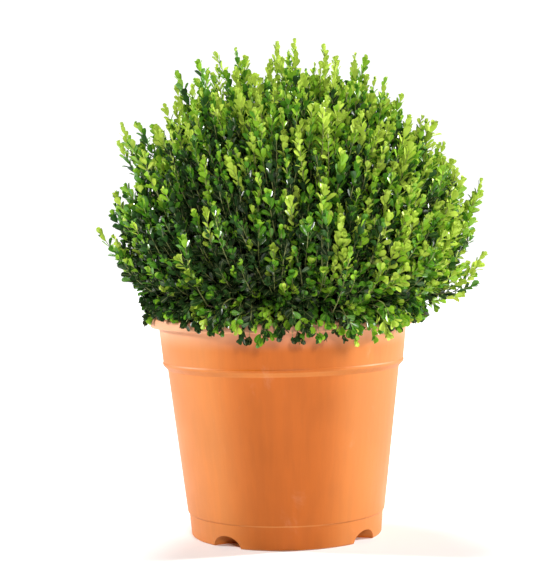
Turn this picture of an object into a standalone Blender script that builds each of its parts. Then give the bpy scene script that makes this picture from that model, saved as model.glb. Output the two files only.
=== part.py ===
"""A boxwood bush grown as a loose ball, standing in a moulded plastic nursery pot.

Metres, +Z up. The origin is the middle of the pot's underside and the pot stands on z = 0.
The front is -Y, and +X is to the right of someone who looks at the front.

The pot is one turned shell with four scooped drain pockets in its foot, and it is filled with
potting soil. A short stem rises from the soil and forks into twelve boughs. Round them the ball
is thirteen masses of foliage: a skirt, a shoulder and a crown. Each mass keeps to its own cell of
the ball, and its shoots stand out of a dense core.
"""

import math
import random

import bmesh
import bpy
from mathutils import Matrix, Vector, noise

# ---------------------------------------------------------------- pot
POT_HEIGHT = 0.232
LIP_RADIUS = 0.140
LIP_HEIGHT = 0.0105
BAND_TOP_RADIUS = 0.1305
BAND_BOTTOM_RADIUS = 0.1270
BAND_BOTTOM_Z = 0.1825
BODY_TOP_RADIUS = 0.1222
BODY_TOP_Z = 0.1765
BODY_BOTTOM_RADIUS = 0.1048
FOOT_TOP_RADIUS = 0.1031
FOOT_TOP_Z = 0.0250
FOOT_BOTTOM_RADIUS = 0.1008
POT_WALL = 0.0026
FLOOR_THICKNESS = 0.0036
POT_SEGMENTS = 48

POCKET_COUNT = 4
FIRST_POCKET_DEG = -37.5
POCKET_HALF_WIDTH = 0.0175
POCKET_HEIGHT = 0.0125
POCKET_DEPTH = 0.024
POCKET_LINING = 0.0024
DRAIN_HOLE_RADIUS = 0.0050
DRAIN_HOLE_CIRCLE = 0.045

# ---------------------------------------------------------------- soil
GAP = 0.0003
SOIL_TOP_Z = 0.206
SOIL_MOUND = 0.0012
SOIL_FLAT_RADIUS = 0.020

# ---------------------------------------------------------------- stem and boughs
STEM_FOOT_RADIUS = 0.0125
STEM_RADIUS = 0.0085
STEM_TIP_RADIUS = 0.0026
STEM_RINGS = 11
STEM_SIDES = 12
FLARE_HEIGHT = 0.016
FLARE_LOBES = 5
FLARE_SWELL = 0.16
BOUGH_RADIUS = 0.0034
BOUGH_TIP_RADIUS = 0.0019
BOUGH_POINTS = 7
BOUGH_SIDES = 6
SKIRT_BOUGH_Z = 0.236
SHOULDER_BOUGH_Z = 0.290
BOUGH_STAGGER = 0.005

# ---------------------------------------------------------------- ball of foliage
BALL_CENTRE = Vector((0.0155, 0.0, 0.313))
BALL_RADIUS = 0.186
BALL_UP = 0.180
BALL_DOWN = 0.108
BALL_ROUNDNESS = 2.3

SKIRT_MASSES = 7
SHOULDER_MASSES = 5
SKIRT_BOTTOM_DEG = -42.0
SKIRT_TOP_DEG = 10.0
SHOULDER_TOP_DEG = 48.0
SKIRT_TURN_DEG = -12.0
SHOULDER_TURN_DEG = 20.0
CELL_GAP = 0.0014
MASS_INNER = 0.54
CORE_INNER = 0.57
CORE_OUTER = 0.90
CORE_ROUNDING = 0.30
CORE_LUMPS = 0.08
CORE_LUMPS_PER_METRE = 24.0
CORE_SIDE_GAP = 0.0022
RIM_CLEARANCE = 0.0016

# ---------------------------------------------------------------- shoots and leaves
SHOOTS_ROUND_BALL = 150
LEADER_SPACING_DEG = 11.5
LEADER_PAIRS = 3
SHOOT_PAIRS = 2
SHOOT_LENGTH = 0.046
SHOOT_LIFT = 1.1
LEVEL_RISE_DEG = -27.0
UPTURN_SPAN_DEG = 38.0
DROOP = -0.35
HEM_RISE_DEG = -38.0
HEM_CLEARANCE = 0.020
SHOOT_RADIUS = 0.0013
SHOOT_TIP_RADIUS = 0.0007
TWIG_RADIUS = 0.0017
TWIG_REACH = 0.55
TWIG_SUNK = 0.1
NECK_SHARE = 0.65
SHORTEST_TWIG = 0.004
ROOM_STEP = 0.006
LEAF_LENGTH = 0.036
LEAF_WIDTH = 0.0185
LEAF_THICKNESS = 0.0011
LEAF_WIDEST = 0.60
LEAF_SPACING = 0.0150
TIP_LEAF_SHARE = 0.86
SIDE_ROOM = 0.42
TIP_LEAF_ANGLE_DEG = 22.0
LOW_LEAF_ANGLE_DEG = 48.0
SEED = 41
GROWTH_ATTEMPTS = 6
WELD = 2e-7

# Tips of the tall shoots that stand out of the ball, as (across, back, up).
LEADERS = (
    (0.019, -0.020, 0.523),
    (-0.044, 0.015, 0.518),
    (0.005, 0.060, 0.512),
    (0.048, -0.045, 0.512),
    (0.084, 0.020, 0.510),
    (-0.083, -0.020, 0.503),
    (-0.108, 0.030, 0.480),
    (0.113, -0.030, 0.479),
    (0.128, 0.040, 0.461),
    (-0.150, -0.015, 0.439),
    (0.176, 0.000, 0.413),
    (-0.178, 0.025, 0.372),
    (0.213, -0.012, 0.374),
    (-0.191, -0.025, 0.328),
    (0.219, 0.015, 0.293),
    (-0.166, 0.030, 0.264),
    (0.206, -0.020, 0.262),
    (-0.022, -0.150, 0.440),
    (0.070, 0.155, 0.437),
    (-0.090, 0.135, 0.446),
    (0.040, -0.196, 0.352),
    (-0.070, 0.187, 0.340),
)

# Tips of the shoots that hang over the pot's lip, on each side of it.
DROOPERS = (
    (0.060, -0.158, 0.210),
    (0.020, -0.156, 0.218),
    (-0.058, -0.150, 0.221),
    (0.104, -0.132, 0.216),
    (-0.105, 0.125, 0.218),
    (0.030, 0.158, 0.213),
    (0.150, 0.060, 0.222),
)

LEAF_GREEN = (0.105, 0.245, 0.035)
BARK_BROWN = (0.235, 0.165, 0.095)
SOIL_BROWN = (0.045, 0.028, 0.018)
TERRACOTTA = (0.780, 0.290, 0.085)


# ---------------------------------------------------------------- scene helpers
def clear_scene():
    for thing in list(bpy.data.objects):
        bpy.data.objects.remove(thing, do_unlink=True)


def new_collection(name, hidden=False):
    made = bpy.data.collections.new(name)
    bpy.context.scene.collection.children.link(made)
    made.hide_render = hidden
    return made


def material(name, colour, roughness, metallic=0.0):
    made = bpy.data.materials.new(name)
    made.use_nodes = True
    shader = made.node_tree.nodes["Principled BSDF"]
    shader.inputs["Base Color"].default_value = (*colour, 1.0)
    shader.inputs["Roughness"].default_value = roughness
    shader.inputs["Metallic"].default_value = metallic
    return made


def add_object(name, data, collection, finish=None):
    made = bpy.data.objects.new(name, data)
    collection.objects.link(made)
    if finish is not None:
        data.materials.clear()
        data.materials.append(finish)
    return made


def mesh_object(name, shape, collection, finish=None):
    """An object made of the bmesh, which is freed."""
    data = bpy.data.meshes.new(name)
    shape.to_mesh(data)
    shape.free()
    return add_object(name, data, collection, finish)


def evaluated_mesh(thing):
    bpy.context.view_layer.update()
    graph = bpy.context.evaluated_depsgraph_get()
    return bpy.data.meshes.new_from_object(thing.evaluated_get(graph), depsgraph=graph)


def welded_mesh(thing, distance=1e-6):
    """The evaluated mesh of a curve or a modified object, with its caps welded to its sides."""
    data = evaluated_mesh(thing)
    shape = bmesh.new()
    shape.from_mesh(data)
    bmesh.ops.remove_doubles(shape, verts=shape.verts, dist=distance)
    bmesh.ops.recalc_face_normals(shape, faces=shape.faces)
    shape.to_mesh(data)
    shape.free()
    return data


def boolean(target, operation, cutter=None, group=None):
    """Adds a Boolean with one object or with a collection, and applies it."""
    change = target.modifiers.new(operation.title(), "BOOLEAN")
    change.operation = operation
    change.solver = "EXACT"
    if group is None:
        change.object = cutter
    else:
        change.operand_type = "COLLECTION"
        change.collection = group
    result = evaluated_mesh(target)
    target.modifiers.clear()
    finish = list(target.data.materials)
    target.data = result
    result.materials.clear()
    for one in finish:
        result.materials.append(one)


def remove_objects(things):
    for thing in list(things):
        bpy.data.objects.remove(thing, do_unlink=True)


def shade_round(thing, angle_deg=35.0):
    thing.data.shade_smooth()
    thing.data.set_sharp_from_angle(angle=math.radians(angle_deg))


# ---------------------------------------------------------------- pot
def fillet(before, corner, after, radius, steps=2):
    """Points of an arc that rounds the corner between two straight stretches of a profile."""
    to_before = (before - corner).normalized()
    to_after = (after - corner).normalized()
    half = to_before.angle(to_after) / 2
    shortest = min((before - corner).length, (after - corner).length)
    reach = min(radius / math.tan(half), 0.45 * shortest)
    inset = reach * math.tan(half)
    centre = corner + (to_before + to_after).normalized() * (inset / math.sin(half))
    spoke = corner + to_before * reach - centre
    sweep = spoke.angle_signed(corner + to_after * reach - centre)
    return [centre + Matrix.Rotation(-sweep * i / steps, 2) @ spoke for i in range(steps + 1)]


def rounded_profile(corners):
    """The profile through (radius, height, fillet) corners, with each inner corner rounded."""
    flat = [Vector((r, z)) for r, z, _ in corners]
    points = [flat[0]]
    for i in range(1, len(flat) - 1):
        if corners[i][2] > 0:
            points += fillet(flat[i - 1], flat[i], flat[i + 1], corners[i][2])
        else:
            points.append(flat[i])
    return points + [flat[-1]]


def turned_solid(name, corners, collection, finish=None):
    """A profile turned once round Z by a Screw modifier, from the axis down its outer side."""
    shape = bmesh.new()
    rim = [shape.verts.new((p.x, 0.0, p.y)) for p in rounded_profile(corners)]
    for a, b in zip(rim, rim[1:]):
        shape.edges.new((a, b))
    profile = mesh_object(name + "_profile", shape, collection)
    turn = profile.modifiers.new("Turn", "SCREW")
    turn.steps = turn.render_steps = POT_SEGMENTS
    turn.use_merge_vertices = True
    turn.merge_threshold = 1e-5
    data = welded_mesh(profile)
    bpy.data.objects.remove(profile, do_unlink=True)
    return add_object(name, data, collection, finish)


def outer_corners():
    """The pot's outer side as (radius, height, fillet), from the lip down to the foot."""
    lip_z = POT_HEIGHT - LIP_HEIGHT
    return [
        (LIP_RADIUS, POT_HEIGHT, 0.0022),
        (LIP_RADIUS, lip_z, 0.0022),
        (BAND_TOP_RADIUS, lip_z - 0.0008, 0.0),
        (BAND_BOTTOM_RADIUS, BAND_BOTTOM_Z, 0.0030),
        (BODY_TOP_RADIUS, BODY_TOP_Z, 0.0),
        (BODY_BOTTOM_RADIUS, FOOT_TOP_Z + 0.0006, 0.0),
        (FOOT_TOP_RADIUS, FOOT_TOP_Z - 0.0010, 0.0),
        (FOOT_BOTTOM_RADIUS, 0.0, 0.0014),
    ]


def inner_corners():
    """The pot's inside as (radius, height, fillet), from the middle of its floor up to the lip."""
    return [
        (0.0, FLOOR_THICKNESS, 0.0),
        (FOOT_BOTTOM_RADIUS - 0.0060, FLOOR_THICKNESS, 0.0),
        (BODY_BOTTOM_RADIUS - POT_WALL - 0.0020, FOOT_TOP_Z, 0.0),
        (BODY_TOP_RADIUS - POT_WALL, BODY_TOP_Z - 0.0010, 0.0),
        (BAND_BOTTOM_RADIUS - POT_WALL, BAND_BOTTOM_Z + 0.0010, 0.0),
        (BAND_TOP_RADIUS - POT_WALL, POT_HEIGHT, 0.0014),
    ]


def pocket_scoop(name, angle_deg, extra, collection):
    """An ellipsoid lying on the ground across the foot, grown all round by extra."""
    shape = bmesh.new()
    bmesh.ops.create_uvsphere(shape, u_segments=16, v_segments=10, radius=1.0)
    size = Vector((POCKET_HALF_WIDTH + extra, POCKET_DEPTH + extra, POCKET_HEIGHT + extra))
    bmesh.ops.scale(shape, verts=shape.verts, vec=size)
    bmesh.ops.translate(shape, verts=shape.verts, vec=(0.0, -FOOT_BOTTOM_RADIUS - 0.0005, -0.0002))
    scoop = mesh_object(name, shape, collection)
    scoop.rotation_euler.z = math.radians(angle_deg)
    return scoop


def pocket_angles():
    return [FIRST_POCKET_DEG + 360.0 * i / POCKET_COUNT for i in range(POCKET_COUNT)]


def build_pot(collection, helpers, finish):
    pot = turned_solid("pot", inner_corners() + outer_corners() + [(0.0, 0.0, 0.0)], collection, finish)
    inside = [(r + POT_WALL / 2 if r else r, z - POT_WALL / 2, 0.0) for r, z, _ in inner_corners()[:3]]
    filling = turned_solid("filling", [(0.0, FOOT_TOP_Z, 0.0)] + inside[::-1], helpers)
    for number, angle in enumerate(pocket_angles()):
        lining = pocket_scoop(f"lining_{number}", angle, POCKET_LINING, helpers)
        boolean(lining, "INTERSECT", filling)
        boolean(pot, "UNION", lining)
        boolean(pot, "DIFFERENCE", pocket_scoop(f"scoop_{number}", angle, 0.0, helpers))
    for number, angle in enumerate(pocket_angles()):
        turn = math.radians(angle + 45.0)
        shape = bmesh.new()
        bmesh.ops.create_cone(
            shape, cap_ends=True, segments=16, radius1=DRAIN_HOLE_RADIUS,
            radius2=DRAIN_HOLE_RADIUS, depth=0.03,
        )
        hole = mesh_object(f"drain_{number}", shape, helpers)
        hole.location = (DRAIN_HOLE_CIRCLE * math.sin(turn), -DRAIN_HOLE_CIRCLE * math.cos(turn), 0.0)
        boolean(pot, "DIFFERENCE", hole)
    shade_round(pot)
    return pot


def build_soil(collection, helpers, finish):
    """Soil that fills the pot, held off its walls and its pocket linings by the gap."""
    wall = [(r - 2 * GAP, z + GAP, 0.0) for r, z, _ in inner_corners()[1:5]]
    wall[0] = (wall[0][0] - 0.003, wall[0][1], 0.0)
    top_radius = wall[-1][0] + 0.0010
    corners = (
        [(0.0, SOIL_TOP_Z, 0.0), (SOIL_FLAT_RADIUS, SOIL_TOP_Z, 0.0)]
        + [(top_radius - 0.010, SOIL_TOP_Z - SOIL_MOUND, 0.0)]
        + [(top_radius, SOIL_TOP_Z - 0.004, 0.0)]
        + wall[::-1]
        + [(0.0, FLOOR_THICKNESS + GAP, 0.0)]
    )
    soil = turned_solid("soil", corners, collection, finish)
    for number, angle in enumerate(pocket_angles()):
        boolean(soil, "DIFFERENCE", pocket_scoop(f"clear_{number}", angle, POCKET_LINING + 2 * GAP, helpers))
    shade_round(soil)
    return soil


# ---------------------------------------------------------------- ball and its cells
def gauge(offset):
    """How far a point is from the ball's centre, as a share of the ball's reach that way."""
    flat = math.hypot(offset.x, offset.y) / BALL_RADIUS
    tall = abs(offset.z) / (BALL_UP if offset.z > 0 else BALL_DOWN)
    return (flat**BALL_ROUNDNESS + tall**BALL_ROUNDNESS) ** (1.0 / BALL_ROUNDNESS)


def direction(turn, rise):
    return Vector((math.cos(turn) * math.cos(rise), math.sin(turn) * math.cos(rise), math.sin(rise)))


def ball_point(turn, rise, share):
    """The point at that share of the ball's reach, along a turn round Z and a rise above level."""
    way = direction(turn, rise)
    return BALL_CENTRE + way * (share / gauge(way))


def angles_of(point):
    offset = point - BALL_CENTRE
    return math.atan2(offset.y, offset.x), math.atan2(offset.z, math.hypot(offset.x, offset.y))


class Cell:
    """The space of one mass: a sector of the ball between two turns and two rises."""

    def __init__(self, name, turn, half_turn, low, high):
        self.name, self.turn, self.half_turn = name, turn, half_turn
        self.low, self.high = low, high
        self.whole_round = half_turn >= math.pi
        self.rise = math.pi / 2 if self.whole_round else (low + high) / 2

    def margin(self, point):
        """The least distance from the point to the cell's sides, below 0 outside the cell."""
        offset = point - BALL_CENTRE
        turn, rise = angles_of(point)
        length = offset.length
        sides = [length * math.sin(rise - self.low)]
        if not self.whole_round:
            flat = math.hypot(offset.x, offset.y)
            apart = math.remainder(turn - self.turn, 2 * math.pi)
            beyond = self.half_turn - abs(apart)
            sides.append(flat * math.sin(min(beyond, math.pi / 2)))
            sides.append(length * math.sin(self.high - rise))
        sides.append((gauge(offset) - MASS_INNER) * BALL_DOWN)
        return min(sides)

    def holds(self, point, reach=0.0):
        return self.margin(point) > CELL_GAP / 2 + reach and clear_of_pot(point, reach)

    def holds_bar(self, start, end, radius):
        """True when a bar between two points keeps to the cell."""
        steps = max(2, math.ceil((end - start).length / ROOM_STEP))
        return all(self.holds(start.lerp(end, i / steps), radius) for i in range(steps + 1))

    def nearer_middle(self, point, share):
        """The point, moved by a share towards the line down the middle of the cell."""
        return point.lerp(BALL_CENTRE + self.outward() * (point - BALL_CENTRE).length, share)

    def inner_point(self, share=MASS_INNER):
        return ball_point(self.turn, self.rise, share)

    def outward(self):
        return direction(self.turn, self.rise)


def clear_of_pot(point, reach=0.0):
    """True outside the pot's lip and over its opening, a little clear of the plastic."""
    flat = math.hypot(point.x, point.y)
    clearance = RIM_CLEARANCE + reach
    if point.z > POT_HEIGHT + clearance or flat > LIP_RADIUS + clearance:
        return True
    inside = BAND_BOTTOM_RADIUS - POT_WALL - clearance
    return flat < inside and point.z > SOIL_TOP_Z + clearance


def make_cells():
    low, mid, high = (math.radians(a) for a in (SKIRT_BOTTOM_DEG, SKIRT_TOP_DEG, SHOULDER_TOP_DEG))
    cells = []
    for i in range(SKIRT_MASSES):
        turn = math.radians(SKIRT_TURN_DEG + 360.0 * i / SKIRT_MASSES)
        cells.append(Cell(f"foliage_skirt_{i + 1}", turn, math.pi / SKIRT_MASSES, low, mid))
    for i in range(SHOULDER_MASSES):
        turn = math.radians(SHOULDER_TURN_DEG + 360.0 * i / SHOULDER_MASSES)
        cells.append(Cell(f"foliage_shoulder_{i + 1}", turn, math.pi / SHOULDER_MASSES, mid, high))
    cells.append(Cell("foliage_crown", 0.0, math.pi, high, math.pi / 2))
    return cells


def cell_of(cells, point):
    return max(cells, key=lambda cell: cell.margin(point))


# ---------------------------------------------------------------- stem and boughs
def tapered_limb(name, points, radii, sides, collection, finish=None):
    """A limb along the points: a POLY curve with a round bevel and filled caps, made a mesh."""
    data = bpy.data.curves.new(name, "CURVE")
    data.dimensions = "3D"
    data.bevel_depth = 1.0
    data.bevel_resolution = sides // 2 - 2
    data.use_fill_caps = True
    line = data.splines.new("POLY")
    line.points.add(len(points) - 1)
    for knot, point, radius in zip(line.points, points, radii):
        knot.co = (*point, 1.0)
        knot.radius = radius
    guide = bpy.data.objects.new(name + "_curve", data)
    collection.objects.link(guide)
    mesh = welded_mesh(guide)
    bpy.data.objects.remove(guide, do_unlink=True)
    return add_object(name, mesh, collection, finish)


def hermite(start, start_way, end, end_way, count):
    """Evenly spaced points of the cubic that leaves start along start_way and meets end along end_way."""
    points = []
    for i in range(count):
        t = i / (count - 1)
        points.append(
            start * (2 * t**3 - 3 * t**2 + 1)
            + start_way * (t**3 - 2 * t**2 + t)
            + end * (3 * t**2 - 2 * t**3)
            + end_way * (t**3 - t**2)
        )
    return points


def stem_line():
    """The stem's points: upright out of the soil, leaning across to the middle of the ball."""
    foot = Vector((0.0, 0.0, SOIL_TOP_Z + GAP))
    top = ball_point(0.0, math.pi / 2, MASS_INNER) - Vector((0.0, 0.0, GAP))
    rise = Vector((0.0, 0.0, (top - foot).length))
    return hermite(foot, rise * 0.9, top, rise * 1.1, STEM_RINGS)


def stem_radius(share, extra=0.0):
    """The stem's radius at a share of its height: a flare at its root, then an even taper."""
    flare = (STEM_FOOT_RADIUS - STEM_RADIUS) * math.exp(-share * 6.0)
    return STEM_RADIUS + (STEM_TIP_RADIUS - STEM_RADIUS) * share + flare + extra


def build_stem(name, collection, finish, extra=0.0):
    """The stem, with low ridges round its foot where the roots begin."""
    line = stem_line()
    radii = [stem_radius(i / (STEM_RINGS - 1), extra) for i in range(STEM_RINGS)]
    stem = tapered_limb(name, line, radii, STEM_SIDES, collection, finish)
    for corner in stem.data.vertices:
        above = corner.co.z - line[0].z
        if above < FLARE_HEIGHT:
            turn = math.atan2(corner.co.y, corner.co.x)
            swell = 1.0 + FLARE_SWELL * math.cos(FLARE_LOBES * turn) * (1.0 - above / FLARE_HEIGHT)
            corner.co.x *= swell
            corner.co.y *= swell
    shade_round(stem, 50.0)
    return stem


def point_on_stem(height):
    """The stem's middle at that height."""
    line = stem_line()
    for a, b in zip(line, line[1:]):
        if a.z <= height <= b.z:
            return a.lerp(b, (height - a.z) / (b.z - a.z))
    return line[-1]


def bough_line(cell, height):
    """A bough's points, from inside the stem, up and out, to the inner side of its mass."""
    start = point_on_stem(height)
    way = cell.outward()
    end = cell.inner_point() - way * GAP
    span = (end - start).length
    level = Vector((math.cos(cell.turn), math.sin(cell.turn), 0.0))
    leave = (level * 0.8 + Vector((0.0, 0.0, 0.75))).normalized() * span
    return hermite(start, leave, end, way * span * 0.8, BOUGH_POINTS)


def build_boughs(cells, collection, helpers, finish):
    """One tapering bough for each mass but the crown, cut at its foot to sit on the stem's bark."""
    clearance = build_stem("stem_clearance", helpers, None, GAP)
    for number, cell in enumerate(cells[: SKIRT_MASSES + SHOULDER_MASSES]):
        lowest = SKIRT_BOUGH_Z if number < SKIRT_MASSES else SHOULDER_BOUGH_Z
        line = bough_line(cell, lowest + BOUGH_STAGGER * (number * 2 % 5))
        taper = (BOUGH_TIP_RADIUS - BOUGH_RADIUS) / (BOUGH_POINTS - 1)
        radii = [BOUGH_RADIUS + taper * i for i in range(BOUGH_POINTS)]
        name = cell.name.replace("foliage", "bough")
        bough = tapered_limb(name, line, radii, BOUGH_SIDES, collection, finish)
        boolean(bough, "DIFFERENCE", clearance)
        keep_main_piece(bough)
        shade_round(bough, 50.0)


# ---------------------------------------------------------------- foliage
def over_the_lip(tip):
    """The tip, moved straight out where it would otherwise lie on the pot's lip."""
    flat = math.hypot(tip.x, tip.y)
    needed = LIP_RADIUS + HEM_CLEARANCE
    if tip.z > POT_HEIGHT + HEM_CLEARANCE or flat >= needed:
        return tip
    return Vector((tip.x * needed / flat, tip.y * needed / flat, tip.z))


def shoot_tips():
    """Every shoot's (tip, pairs of leaves): leaders, droopers, and an even spiral between them."""
    kept = [(Vector(tip), LEADER_PAIRS) for tip in LEADERS + DROOPERS]
    ways = [(tip - BALL_CENTRE).normalized() for tip, _ in kept]
    rng = random.Random(SEED)
    golden = math.pi * (3.0 - math.sqrt(5.0))
    for i in range(SHOOTS_ROUND_BALL):
        rise = math.asin(1.0 - 2.0 * (i + 0.5) / SHOOTS_ROUND_BALL)
        reach = 1.0 + rng.uniform(-0.03, 0.055)
        if rise < math.radians(HEM_RISE_DEG):
            continue
        tip = over_the_lip(ball_point(i * golden, rise, reach))
        way = (tip - BALL_CENTRE).normalized()
        if min(way.angle(other) for other in ways) > math.radians(LEADER_SPACING_DEG):
            kept.append((tip, SHOOT_PAIRS))
    return kept


def shoot_way(tip):
    """The way a shoot points: outwards, turned upwards, but level or hanging at the skirt's hem."""
    turn, rise = angles_of(tip)
    share = (rise - math.radians(LEVEL_RISE_DEG)) / math.radians(UPTURN_SPAN_DEG)
    lift = SHOOT_LIFT * min(max(share, DROOP), 1.0)
    return (direction(turn, rise) + Vector((0.0, 0.0, lift))).normalized()


def bar(name, start, end, foot_radius, tip_radius, collection):
    """A three-sided twig between two points."""
    shape = bmesh.new()
    span = end - start
    bmesh.ops.create_cone(
        shape, cap_ends=True, segments=3, radius1=foot_radius, radius2=tip_radius, depth=span.length
    )
    place = span.to_track_quat("Z", "Y").to_matrix().to_4x4()
    place.translation = (start + end) / 2
    bmesh.ops.transform(shape, matrix=place, verts=shape.verts)
    return mesh_object(name, shape, collection)


def leaf_points(root, way, face, size):
    """Points all round an obovate leaf and down its middle, for the space test."""
    side = way.cross(face).normalized()
    points = []
    for along in (0.0, 0.3, LEAF_WIDEST, 0.8, 1.0):
        wide = min(along / LEAF_WIDEST, (1.0 - along) / (1.0 - LEAF_WIDEST)) * LEAF_WIDTH / 2 * size
        middle = root + way * (LEAF_LENGTH * along * size)
        points += [middle, middle + side * wide, middle - side * wide]
    return points


def leaf(name, root, way, face, size, collection):
    """A leaf of eight faces: an octahedron drawn out from its root, widest past its middle."""
    shape = bmesh.new()
    bmesh.ops.create_uvsphere(shape, u_segments=4, v_segments=2, radius=1.0)
    for corner in shape.verts:
        x, y, z = corner.co
        along = LEAF_WIDEST if abs(z) < 0.5 else (z + 1.0) / 2
        corner.co = (x * LEAF_WIDTH / 2 * size, y * LEAF_THICKNESS / 2, along * LEAF_LENGTH * size)
    side = way.cross(face).normalized()
    place = Matrix((side, face, way)).transposed().to_4x4()
    place.translation = root
    bmesh.ops.transform(shape, matrix=place, verts=shape.verts)
    bmesh.ops.recalc_face_normals(shape, faces=shape.faces)
    return mesh_object(name, shape, collection)


def grow_twigs(foot, feet, cell, group):
    """Twigs from foot to every shoot's foot: the set is halved across its widest side at each fork."""
    if len(feet) == 1:
        if (feet[0] - foot).length > SHORTEST_TWIG:
            bar("twig", foot, feet[0], TWIG_RADIUS, SHOOT_RADIUS, group)
        return
    middle = sum(feet, Vector()) / len(feet)
    fork = foot.lerp(middle, TWIG_REACH)
    while not cell.holds_bar(foot, fork, TWIG_RADIUS) or not all(
        cell.holds_bar(fork, one, TWIG_RADIUS) for one in feet
    ):
        nearer = cell.nearer_middle(fork, 0.3)
        if (nearer - fork).length < 0.001:
            break
        fork = nearer
    if (fork - foot).length > SHORTEST_TWIG:
        bar("twig", foot, fork, TWIG_RADIUS, TWIG_RADIUS, group)
    widest = max(range(3), key=lambda k: max(p[k] for p in feet) - min(p[k] for p in feet))
    ordered = sorted(feet, key=lambda p: p[widest])
    half = len(ordered) // 2
    grow_twigs(fork, ordered[:half], cell, group)
    grow_twigs(fork, ordered[half:], cell, group)


def shoot_foot(end, way, cell):
    """Where a shoot starts: back along its way, moved in until the whole shoot keeps to its cell."""
    foot = end - way * SHOOT_LENGTH
    for _ in range(10):
        if cell.holds_bar(foot, end, TWIG_RADIUS + 0.001):
            return foot
        foot = cell.nearer_middle(foot, 0.2)
    return None


def leaf_ways(way, away, lean):
    """Ways, faces and sizes to try for one leaf: as it would grow, then folded in and smaller."""
    for fold, size in ((1.0, 1.0), (0.6, 1.0), (0.3, 0.8), (0.1, 0.62)):
        angle = lean * fold
        leaf_way = way * math.cos(angle) + away * math.sin(angle)
        face = way * math.sin(angle) - away * math.cos(angle)
        yield leaf_way, face, size


def grow_shoot(tip, pairs, cell, group, rng):
    """A shoot with opposite pairs of leaves, each pair a quarter turn from the last."""
    way = shoot_way(tip)
    end = tip - way * (LEAF_LENGTH * TIP_LEAF_SHARE)
    foot = shoot_foot(end, way, cell)
    if foot is None:
        return None
    way = (end - foot).normalized()
    bar("shoot", foot, end, SHOOT_RADIUS, SHOOT_TIP_RADIUS, group)
    across = way.orthogonal().normalized()
    turned = rng.uniform(0.0, math.pi)
    for pair in range(pairs):
        root = end - way * (SHOOT_TIP_RADIUS * 2 + pair * LEAF_SPACING)
        lean_deg = TIP_LEAF_ANGLE_DEG + (LOW_LEAF_ANGLE_DEG - TIP_LEAF_ANGLE_DEG) * pair / (pairs - 1)
        for half in range(2):
            spin = turned + pair * math.pi / 2 + half * math.pi + rng.uniform(-0.2, 0.2)
            away = Matrix.Rotation(spin, 3, way) @ across
            for leaf_way, face, size in leaf_ways(way, away, math.radians(lean_deg)):
                if all(cell.holds(point) for point in leaf_points(root, leaf_way, face, size)):
                    leaf("leaf", root, leaf_way, face, size, group)
                    break
    return foot


def drawn_in(tip, cell):
    """The tip, moved round towards the middle of its cell until its leaves have room there."""
    turn, rise = angles_of(tip)
    reach = gauge(tip - BALL_CENTRE)
    for _ in range(12):
        if cell.margin(ball_point(turn, rise, reach * 0.9)) > LEAF_WIDTH * SIDE_ROOM:
            break
        turn += math.remainder(cell.turn - turn, 2 * math.pi) * (0.0 if cell.whole_round else 0.12)
        rise += (cell.rise - rise) * 0.10
    return ball_point(turn, rise, reach)


def core_point(cell, x, y, z):
    """Maps a point of a rounded cube, from -1 to 1 each way, into the cell, off its sides."""
    share = CORE_INNER + (CORE_OUTER - CORE_INNER) * (z + 1.0) / 2
    inset = CORE_SIDE_GAP / (share / gauge(direction(cell.turn, cell.low)))
    if cell.whole_round:
        lean = max(abs(x), abs(y)) * (math.pi / 2 - cell.low - inset)
        return ball_point(math.atan2(y, x), math.pi / 2 - lean, share)
    rise = cell.rise + y * ((cell.high - cell.low) / 2 - inset)
    turn = cell.turn + x * (cell.half_turn - inset / math.cos(rise))
    return ball_point(turn, rise, share)


def build_core(cell, collection, finish):
    """The dense inside of a mass: a cube with rounded edges, bent to fill the cell, with low lumps."""
    shape = bmesh.new()
    bmesh.ops.create_cube(shape, size=2.0)
    bmesh.ops.subdivide_edges(shape, edges=shape.edges, cuts=3, use_grid_fill=True)
    for corner in shape.verts:
        cube = corner.co.copy()
        soft = cube.lerp(cube.normalized(), CORE_ROUNDING * (cube.length - 1.0))
        point = core_point(cell, soft.x, soft.y, soft.z)
        lump = CORE_LUMPS * noise.noise(point * CORE_LUMPS_PER_METRE) * (cube.z + 1.0) / 2
        corner.co = point + (point - BALL_CENTRE) * lump
    bmesh.ops.recalc_face_normals(shape, faces=shape.faces)
    return mesh_object(cell.name, shape, collection, finish)


def keep_main_piece(thing):
    """Drops any loose scrap that a Boolean left beside the main body."""
    shape = bmesh.new()
    shape.from_mesh(thing.data)
    left = set(shape.verts)
    pieces = []
    while left:
        piece, edge = set(), [next(iter(left))]
        while edge:
            corner = edge.pop()
            if corner in piece:
                continue
            piece.add(corner)
            edge += [link.other_vert(corner) for link in corner.link_edges]
        pieces.append(piece)
        left -= piece
    if len(pieces) > 1:
        largest = max(pieces, key=len)
        loose = [corner for piece in pieces if piece is not largest for corner in piece]
        bmesh.ops.delete(shape, geom=loose, context="VERTS")
        shape.to_mesh(thing.data)
    shape.free()


def is_sound(thing):
    """True when each edge joins two faces, also after corners that all but meet are welded."""
    shape = bmesh.new()
    shape.from_mesh(thing.data)
    bmesh.ops.triangulate(shape, faces=shape.faces)
    bmesh.ops.remove_doubles(shape, verts=shape.verts, dist=WELD)
    sound = all(edge.is_manifold and edge.is_contiguous for edge in shape.edges)
    shape.free()
    return sound


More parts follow.
